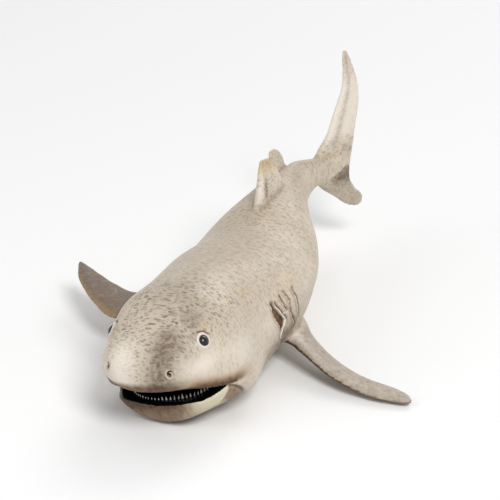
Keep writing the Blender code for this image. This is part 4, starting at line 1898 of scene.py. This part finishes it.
class Shaders:
    """The node groups that the paints share, and the plain paints."""

    def __init__(self):
        """Builds the shared node groups."""
        self.flecks = self.make_flecks()
        self.blotches = self.make_blotches()
        self.line = self.make_line()

    @staticmethod
    def group(name, inputs, output):
        """Starts a node group that puts out one value.

        Args:
            name: its name.
            inputs: tuples of a name, a socket type and a default.
            output: the output's name.

        Returns:
            The tree, its input node and its output node.
        """
        tree = bpy.data.node_groups.new(name, "ShaderNodeTree")
        for label, kind, default in inputs:
            socket = tree.interface.new_socket(label, in_out="INPUT", socket_type=kind)
            if default is not None:
                socket.default_value = default
        tree.interface.new_socket(output, in_out="OUTPUT", socket_type="NodeSocketFloat")
        return tree, tree.nodes.new("NodeGroupInput"), tree.nodes.new("NodeGroupOutput")

    @staticmethod
    def sum_node(tree, operation, *values):
        """Adds one arithmetic node.

        Args:
            tree: the node tree.
            operation: what it does.
            values: its inputs, as sockets or numbers.

        Returns:
            Its output socket.
        """
        node = tree.nodes.new("ShaderNodeMath")
        node.operation = operation
        for socket, value in zip(node.inputs, values):
            if isinstance(value, (int, float)):
                socket.default_value = value
            else:
                tree.links.new(value, socket)
        return node.outputs[0]

    @staticmethod
    def step_node(tree, value, start, end):
        """Adds a smooth step from 0 to 1, or from 1 to 0 where the end is below the start.

        Args:
            tree: the node tree.
            value: the socket that is read.
            start, end: where the step begins and ends.

        Returns:
            Its output socket.
        """
        node = tree.nodes.new("ShaderNodeMapRange")
        node.interpolation_type = "SMOOTHSTEP"
        node.inputs["From Min"].default_value = min(start, end)
        node.inputs["From Max"].default_value = max(start, end)
        node.inputs["To Min"].default_value = 0.0 if end > start else 1.0
        node.inputs["To Max"].default_value = 1.0 if end > start else 0.0
        tree.links.new(value, node.inputs["Value"])
        return node.outputs[0]

    def make_line(self):
        """A soft line where a distance is near a value.

        Returns:
            The node group.
        """
        tree, start, end = self.group(
            "line",
            (
                ("Distance", "NodeSocketFloat", 9.0),
                ("Centre", "NodeSocketFloat", 0.0),
                ("Width", "NodeSocketFloat", 0.3),
            ),
            "Mask",
        )
        off = self.sum_node(tree, "SUBTRACT", start.outputs["Distance"], start.outputs["Centre"])
        off = self.sum_node(tree, "ABSOLUTE", off)
        share = self.sum_node(tree, "DIVIDE", off, start.outputs["Width"])
        tree.links.new(self.step_node(tree, share, 1.0, 0.0), end.inputs["Mask"])
        return tree

    def make_flecks(self):
        """Small irregular dashes that lie across the length of the body.

        Returns:
            The node group.
        """
        tree, start, end = self.group(
            "flecks",
            (
                ("Place", "NodeSocketVector", None),
                ("Scale", "NodeSocketFloat", 1.0),
                ("Least", "NodeSocketFloat", 0.1),
                ("Spread", "NodeSocketFloat", 0.2),
                ("Kept", "NodeSocketFloat", 0.75),
            ),
            "Mask",
        )
        link = tree.links.new
        noise = tree.nodes.new("ShaderNodeTexNoise")
        noise.inputs["Scale"].default_value = 0.8
        noise.inputs["Detail"].default_value = 2.0
        link(start.outputs["Place"], noise.inputs["Vector"])
        warp = tree.nodes.new("ShaderNodeVectorMath")
        warp.operation = "MULTIPLY_ADD"
        warp.inputs[1].default_value = (0.9, 1.6, 0.0)
        link(noise.outputs["Color"], warp.inputs[0])
        link(start.outputs["Place"], warp.inputs[2])
        stretch = tree.nodes.new("ShaderNodeVectorMath")
        stretch.operation = "MULTIPLY"
        stretch.inputs[1].default_value = (1.0, 0.55, 1.0)
        link(warp.outputs[0], stretch.inputs[0])
        cells = tree.nodes.new("ShaderNodeTexVoronoi")
        cells.voronoi_dimensions = "2D"
        cells.inputs["Randomness"].default_value = 0.9
        link(stretch.outputs[0], cells.inputs["Vector"])
        link(start.outputs["Scale"], cells.inputs["Scale"])
        pick = tree.nodes.new("ShaderNodeSeparateColor")
        link(cells.outputs["Color"], pick.inputs[0])
        least, spread = start.outputs["Least"], start.outputs["Spread"]
        size = self.sum_node(tree, "MULTIPLY_ADD", pick.outputs[0], spread, least)
        gap = self.sum_node(tree, "SUBTRACT", size, cells.outputs["Distance"])
        mark = self.step_node(tree, gap, -0.07, 0.07)
        kept = self.sum_node(tree, "LESS_THAN", pick.outputs[1], start.outputs["Kept"])
        depth = self.sum_node(tree, "MULTIPLY_ADD", pick.outputs[2], 0.6, 0.4)
        mark = self.sum_node(tree, "MULTIPLY", mark, kept)
        link(self.sum_node(tree, "MULTIPLY", mark, depth), end.inputs["Mask"])
        return tree

    def make_blotches(self):
        """Soft uneven patches.

        Returns:
            The node group.
        """
        tree, start, end = self.group(
            "blotches",
            (
                ("Place", "NodeSocketVector", None),
                ("Scale", "NodeSocketFloat", 1.0),
                ("From", "NodeSocketFloat", 0.4),
                ("To", "NodeSocketFloat", 0.7),
            ),
            "Mask",
        )
        link = tree.links.new
        noise = tree.nodes.new("ShaderNodeTexNoise")
        noise.inputs["Detail"].default_value = 5.0
        noise.inputs["Roughness"].default_value = 0.55
        link(start.outputs["Place"], noise.inputs["Vector"])
        link(start.outputs["Scale"], noise.inputs["Scale"])
        sharp = tree.nodes.new("ShaderNodeMapRange")
        sharp.interpolation_type = "SMOOTHSTEP"
        link(noise.outputs["Fac"], sharp.inputs["Value"])
        link(start.outputs["From"], sharp.inputs["From Min"])
        link(start.outputs["To"], sharp.inputs["From Max"])
        link(sharp.outputs[0], end.inputs["Mask"])
        return tree

    @staticmethod
    def plain(name, tone, roughness):
        """A one-paint material with a little unevenness in its gloss.

        Args:
            name: its name.
            tone: a Paint.
            roughness: its roughness.

        Returns:
            The material.
        """
        material = bpy.data.materials.new(name)
        material.use_nodes = True
        shader = material.node_tree.nodes["Principled BSDF"]
        shader.inputs["Base Color"].default_value = tone.value.linear()
        nodes, link = material.node_tree.nodes, material.node_tree.links.new
        place = nodes.new("ShaderNodeTexCoord")
        noise = nodes.new("ShaderNodeTexNoise")
        noise.inputs["Scale"].default_value = 900.0
        link(place.outputs["Object"], noise.inputs["Vector"])
        spread = nodes.new("ShaderNodeMapRange")
        spread.inputs["To Min"].default_value = roughness * 0.85
        spread.inputs["To Max"].default_value = roughness * 1.15
        link(noise.outputs["Fac"], spread.inputs["Value"])
        link(spread.outputs[0], shader.inputs["Roughness"])
        return material


class SkinPaint:
    """The material of the painted skin, laid on in layers from the ground to the blackest parts."""

    # how strong the painted shade behind each gill edge is
    GILL_LINES = (0.9, 1.0, 0.8, 1.0, 0.95)

    def __init__(self, shaders):
        """Starts the material and reads what is kept with the mesh.

        Args:
            shaders: the Shaders, for their shared groups.
        """
        self.shaders = shaders
        self.material = bpy.data.materials.new("painted_skin_detailed")
        self.material.use_nodes = True
        self.tree = self.material.node_tree
        self.link = self.tree.links.new
        self.colour = Paint.BASE.value.linear()
        self.place = self.attribute("body_place")
        self.fine = self.blotches(0.55, 0.42, 0.72)
        self.pale, self.wash, self.inside = self.masks("paint_pale_wash_inside")
        self.band, self.jaw, self.back = self.masks("paint_band_jaw_back")
        self.spots, self.ochre, self.shade = self.masks("paint_spots_ochre_shade")
        self.smoke, self.streak, self.lip_gap = self.masks("paint_smoke_streak_lip")

    def node(self, kind, **values):
        """Adds a node.

        Args:
            kind: what it is, without the word Shader.
            values: its settings.

        Returns:
            The node.
        """
        node = self.tree.nodes.new("ShaderNode" + kind)
        for name, value in values.items():
            setattr(node, name, value)
        return node

    def attribute(self, name):
        """Reads a vector that is kept with the mesh.

        Args:
            name: the attribute's name.

        Returns:
            Its socket.
        """
        return self.node("Attribute", attribute_name=name).outputs["Vector"]

    def masks(self, name):
        """Reads the three masks that are kept under one name.

        Args:
            name: the attribute's name.

        Returns:
            A tuple of three sockets.
        """
        node = self.node("SeparateXYZ")
        self.link(self.attribute(name), node.inputs[0])
        return tuple(node.outputs)

    def sum(self, operation, *values):
        """Adds one arithmetic node.

        Args:
            operation: what it does.
            values: its inputs, as sockets or numbers.

        Returns:
            Its output socket.
        """
        return Shaders.sum_node(self.tree, operation, *values)

    def use(self, group, **values):
        """Places a shared group.

        Args:
            group: the node group.
            values: its inputs, as sockets or numbers.

        Returns:
            Its output socket.
        """
        node = self.node("Group", node_tree=group)
        for label, value in values.items():
            if isinstance(value, (int, float)):
                node.inputs[label].default_value = value
            else:
                self.link(value, node.inputs[label])
        return node.outputs[0]

    def blotches(self, scale, start, end, place=None):
        """Soft uneven patches.

        Args:
            scale: how fine they are.
            start, end: how strong the noise is where a patch begins and is full.
            place: where they are read, or None for the body's own place.

        Returns:
            The mask's socket.
        """
        place = self.place if place is None else place
        return self.use(self.shaders.blotches, Place=place, Scale=scale, From=start, To=end)

    def line(self, distance, centre, width, end=None, strength=1.0):
        """A soft line where a distance is near a value.

        Args:
            distance: the distance that is read.
            centre, width: where the line is, and how far from there it has faded.
            end: how much the line counts at each place, or None.
            strength: how strong it is where it counts in full.

        Returns:
            The mask's socket.
        """
        line = self.use(self.shaders.line, Distance=distance, Centre=centre, Width=width)
        if end is None:
            return line
        return self.sum("MULTIPLY", line, self.sum("MULTIPLY", end, strength))

    def ramp(self, value, start, end):
        """A straight rise from 0 to 1.

        Args:
            value: the socket that is read.
            start, end: where it begins and ends.

        Returns:
            Its output socket.
        """
        node = self.node("MapRange")
        node.inputs["From Min"].default_value = start
        node.inputs["From Max"].default_value = end
        self.link(value, node.inputs["Value"])
        return node.outputs[0]

    def lay(self, paint, mask, amount=None, stain=False):
        """Lays a paint over what is there.

        Args:
            paint: a Paint.
            mask: where it goes.
            amount: how strong it is, or None for in full.
            stain: whether what is below shows through and is only darkened.
        """
        if amount is not None:
            mask = self.sum("MULTIPLY", mask, amount)
        node = self.node("Mix", data_type="RGBA", blend_type="MULTIPLY" if stain else "MIX")
        self.link(mask, node.inputs[0])
        if isinstance(self.colour, tuple):
            node.inputs[6].default_value = self.colour
        else:
            self.link(self.colour, node.inputs[6])
        node.inputs[7].default_value = paint.value.linear()
        self.colour = node.outputs[2]

    def ground(self):
        """The tan of the whole figurine with its pale parts and painted highlight, its grey-brown
        parts and painted shade, and its ochre parts.
        """
        self.lay(Paint.WARM, self.blotches(0.07, 0.38, 0.66))
        self.lay(Paint.BACK, self.back, 0.75)
        self.lay(Paint.BACK, self.fine, 0.4)
        self.lay(Paint.PALE, self.pale, 0.85)
        uneven = self.sum("MULTIPLY_ADD", self.blotches(0.3, 0.3, 0.62), 0.35, 0.6)
        uneven = self.sum("MULTIPLY_ADD", self.blotches(0.85, 0.42, 0.62), 0.4, uneven)
        smoke_and_shade_amount = self.sum("MULTIPLY", self.smoke, uneven)
        self.lay(Paint.SMOKE, self.sum("MINIMUM", smoke_and_shade_amount, 0.95))
        self.lay(Paint.OCHRE, self.blotches(0.13, 0.6, 0.76), 0.16)
        self.lay(Paint.OCHRE, self.ochre, 0.75)

    def speckle(self):
        """The brown dashes of the back and the head, then the shade mask: brown on the dorsal tips
        and painted shade on the right pectoral fin.
        """
        flat, group = self.attribute("skin_place"), self.shaders.flecks
        dashes = self.use(group, Place=flat, Scale=1.12, Least=0.15, Spread=0.26, Kept=0.85)
        small = self.use(group, Place=flat, Scale=1.75, Least=0.12, Spread=0.28, Kept=0.6)
        self.lay(Paint.FLECK, self.sum("MULTIPLY", dashes, self.spots), 0.72)
        self.lay(Paint.FLECK, self.sum("MULTIPLY", small, self.spots), 0.5)
        self.lay(Paint.WASH, self.shade, 0.5)
        self.lay(Paint.WASH, self.sum("MULTIPLY", dashes, self.shade), 0.4)

    def mouth(self):
        """The lip band, the lower jaw and its brown streaks with painted shade under the snout, and
        the dark line of the upper lip.
        """
        self.lay(Paint.LIP, self.band, 0.8)
        self.lay(Paint.JAW, self.jaw, 0.85)
        rim = self.line(self.lip_gap, 0.55, 0.17)
        self.lay(Paint.STAIN, rim, stain=True)
        self.lay(Paint.WASH, rim, 0.8)
        drawn = self.node("VectorMath", operation="MULTIPLY")
        drawn.inputs[1].default_value = (0.25, 1.5, 0.22)
        self.link(self.place, drawn.inputs[0])
        streaks = self.blotches(0.75, 0.4, 0.7, drawn.outputs[0])
        self.lay(Paint.STAIN, self.streak, 0.45, stain=True)
        self.lay(Paint.WASH, self.sum("MULTIPLY", streaks, self.streak), 0.5)

    def browns_and_shade(self):
        """Lays the brown of the lips and jaw, and painted shade in the creases, the gill slits, the
        folds and under the snout and cheek.

        Returns:
            How dark each place is made, brown and painted shade together, as a socket.
        """
        darkness = self.sum("MULTIPLY", self.wash, self.sum("MULTIPLY_ADD", self.fine, 0.35, 0.8))
        tinted = self.sum("MINIMUM", self.sum("MULTIPLY", darkness, 1.4), 1.0)
        self.lay(Paint.STAIN, tinted, stain=True)
        covered = self.sum("MINIMUM", self.sum("MULTIPLY", darkness, 0.75), 0.85)
        self.lay(Paint.WASH, covered)
        return darkness

    def gills(self):
        """Painted shade behind each gill edge, painted highlight on it, and painted shade along the
        fold of the mouth's corner.
        """
        first, last = self.masks("gill_first"), self.masks("gill_last")
        ends, last_ends = self.masks("gill_first_ends"), self.masks("gill_last_ends")
        for distance, end, amount in zip(first + last[:2], ends + last_ends[:2], self.GILL_LINES):
            self.lay(Paint.STAIN, self.line(distance, 0.1, 1.6, end, 0.7), stain=True)
            drop = self.line(distance, 0.42, 0.62, end, amount)
            self.lay(Paint.STAIN, drop, stain=True)
            self.lay(Paint.DEEP, drop, 0.75)
            self.lay(Paint.PALE, self.line(distance, -0.16, 0.34, end, 0.9))
        self.lay(Paint.WASH, self.line(last[2], -0.1, 0.6, last_ends[2], 0.7))

    def face(self):
        """Painted shade in the fold over each eye, round the foot of each lid and in the pit of
        each nostril.
        """
        eye_back, eye_up, eye_away = self.masks("eye_place")
        above = self.sum(
            "MULTIPLY",
            Shaders.step_node(self.tree, eye_up, -0.3, 0.8),
            Shaders.step_node(self.tree, eye_back, -0.9, 0.4),
        )
        fold = self.line(eye_away, 2.38, 0.32)
        self.lay(Paint.WASH, self.sum("MULTIPLY", fold, above), 0.9)
        self.lay(Paint.WASH, self.line(eye_away, 2.2, 0.3), 0.22)
        nose_back, nose_up, _ = self.masks("nose_place")
        square = self.sum("POWER", self.sum("SUBTRACT", nose_up, 0.3), 2.0)
        square = self.sum("ADD", self.sum("POWER", nose_back, 2.0), square)
        pit = Shaders.step_node(self.tree, self.sum("SQRT", square), 0.75, 0.5)
        self.lay(Paint.DEEP, pit, 0.92)

    def gloss(self, shader, black):
        """How the paint shines, most of all the black inside of the mouth.

        Args:
            shader: the Principled BSDF.
            black: the mask of the black inside.
        """
        shader.inputs["Specular IOR Level"].default_value = 0.3
        rough = self.node("Mix", data_type="FLOAT")
        self.link(black, rough.inputs[0])
        self.link(self.sum("MULTIPLY_ADD", self.fine, 0.1, 0.38), rough.inputs[2])
        rough.inputs[3].default_value = 0.14
        self.link(rough.outputs[0], shader.inputs["Roughness"])

    def grain(self, shader):
        """The faint grain of the cast skin.

        Args:
            shader: the Principled BSDF.
        """
        noise = self.node("TexNoise")
        noise.inputs["Scale"].default_value = 2.2
        noise.inputs["Detail"].default_value = 4.0
        self.link(self.place, noise.inputs["Vector"])
        relief = self.node("Bump")
        relief.inputs["Strength"].default_value = 0.35
        relief.inputs["Distance"].default_value = 0.00012
        self.link(noise.outputs["Fac"], relief.inputs["Height"])
        self.link(relief.outputs[0], shader.inputs["Normal"])

    def build(self):
        """Lays every layer.

        Returns:
            The material.
        """
        self.ground()
        self.speckle()
        self.mouth()
        darkness = self.browns_and_shade()
        self.gills()
        self.face()
        # the darkest places get the deepest brown: painted shade, and the dark gum
        self.lay(Paint.DEEP, self.ramp(darkness, 0.72, 1.1))
        black = self.ramp(self.inside, 0.35, 0.6)
        self.lay(Paint.BLACK, black)
        shader = self.tree.nodes["Principled BSDF"]
        self.link(self.colour, shader.inputs["Base Color"])
        self.gloss(shader, black)
        self.grain(shader)
        return self.material


class Studio:
    """The floor, the lights and the camera."""

    @staticmethod
    def floor():
        """A plain pale floor that keeps the shadow.

        Returns:
            The floor object.
        """
        mesh = bpy.data.meshes.new("floor")
        reach = 3.0
        corners = [(x * reach, y * reach, 0.0) for x, y in ((-1, -1), (1, -1), (1, 1), (-1, 1))]
        mesh.from_pydata(corners, [], [(0, 1, 2, 3)])
        item = bpy.data.objects.new("floor", mesh)
        bpy.context.scene.collection.objects.link(item)
        item.location.z = -0.0002
        material = bpy.data.materials.new("floor")
        material.use_nodes = True
        shader = material.node_tree.nodes["Principled BSDF"]
        shader.inputs["Base Color"].default_value = (0.92, 0.92, 0.92, 1.0)
        shader.inputs["Roughness"].default_value = 0.9
        mesh.materials.append(material)
        return item

    @staticmethod
    def light(lamp):
        """A soft round lamp that points at the shark.

        Args:
            lamp: a Lamp.
        """
        data = bpy.data.lights.new(lamp.name, "AREA")
        data.shape = "DISK"
        data.size = lamp.width
        data.energy = lamp.power
        item = bpy.data.objects.new(lamp.name, data)
        item.location = lamp.place
        way = Vector(LAMP_TARGET) - Vector(lamp.place)
        item.rotation_euler = way.to_track_quat("-Z", "Y").to_euler()
        bpy.context.scene.collection.objects.link(item)

    @staticmethod
    def world(strength):
        """A plain white surrounding.

        Args:
            strength: its light on the object.
        """
        world = bpy.data.worlds.new("studio")
        bpy.context.scene.world = world
        world.use_nodes = True
        tree = world.node_tree
        ground = tree.nodes["Background"]
        ground.inputs["Color"].default_value = (1.0, 1.0, 1.0, 1.0)
        ground.inputs["Strength"].default_value = strength
        seen = tree.nodes.new("ShaderNodeBackground")
        seen.inputs["Color"].default_value = (1.0, 1.0, 1.0, 1.0)
        seen.inputs["Strength"].default_value = 1.0
        path = tree.nodes.new("ShaderNodeLightPath")
        mix = tree.nodes.new("ShaderNodeMixShader")
        white = path.outputs["Is Camera Ray"]
        for kind in ("Is Glossy Ray", "Is Transmission Ray"):
            white = Shaders.sum_node(tree, "MAXIMUM", white, path.outputs[kind])
        tree.links.new(white, mix.inputs[0])
        tree.links.new(ground.outputs[0], mix.inputs[1])
        tree.links.new(seen.outputs[0], mix.inputs[2])
        tree.links.new(mix.outputs[0], tree.nodes["World Output"].inputs["Surface"])

    @staticmethod
    def camera():
        """The camera at the photograph's viewing angle."""
        data = bpy.data.cameras.new("camera")
        data.lens = 150.0
        data.sensor_width = 36.0
        data.clip_start = 0.01
        item = bpy.data.objects.new("camera", data)
        azimuth, elevation, distance = math.radians(18.6), math.radians(23.4), 0.560
        target = Vector((0.00656, 0.02014, 0.02669))
        back = Vector((
            math.sin(azimuth) * math.cos(elevation),
            -math.cos(azimuth) * math.cos(elevation),
            math.sin(elevation),
        ))
        item.location = target + back * distance
        item.rotation_euler = back.to_track_quat("Z", "Y").to_euler()
        bpy.context.scene.collection.objects.link(item)
        bpy.context.scene.camera = item


def finish_piece(item, material):
    """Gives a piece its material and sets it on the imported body.

    Args:
        item: the object.
        material: its material.
    """
    item.data.materials.clear()
    item.data.materials.append(material)
    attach(item, BODY)
    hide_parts(NODE)


def main():
    """Builds the whole scene."""
    logging.basicConfig(level=logging.INFO)
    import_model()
    bpy.context.scene.view_settings.view_transform = "Standard"
    Studio.camera()
    shark = Shark(MeshFineness())
    skin_paint = SkinPaint(Shaders()).build()
    finish_piece(shark.skin_object(), skin_paint)
    finish_piece(shark.gill_edges(), skin_paint)
    eye_paint = Shaders.plain("eye_gloss", Paint.EYE, 0.1)
    for side in Side:
        finish_piece(to_metres(shark.eye_ball(side)), eye_paint)
        finish_piece(shark.lid_ring(side), skin_paint)
        finish_piece(shark.nostril_flap(side), skin_paint)
    finish_piece(to_metres(shark.mouth.teeth()), Shaders.plain("tooth_enamel", Paint.TOOTH, 0.3))
    Studio.floor()
    Studio.world(WORLD_STRENGTH)
    for lamp in LAMPS:
        Studio.light(lamp)


if __name__ == "__main__":
    main()
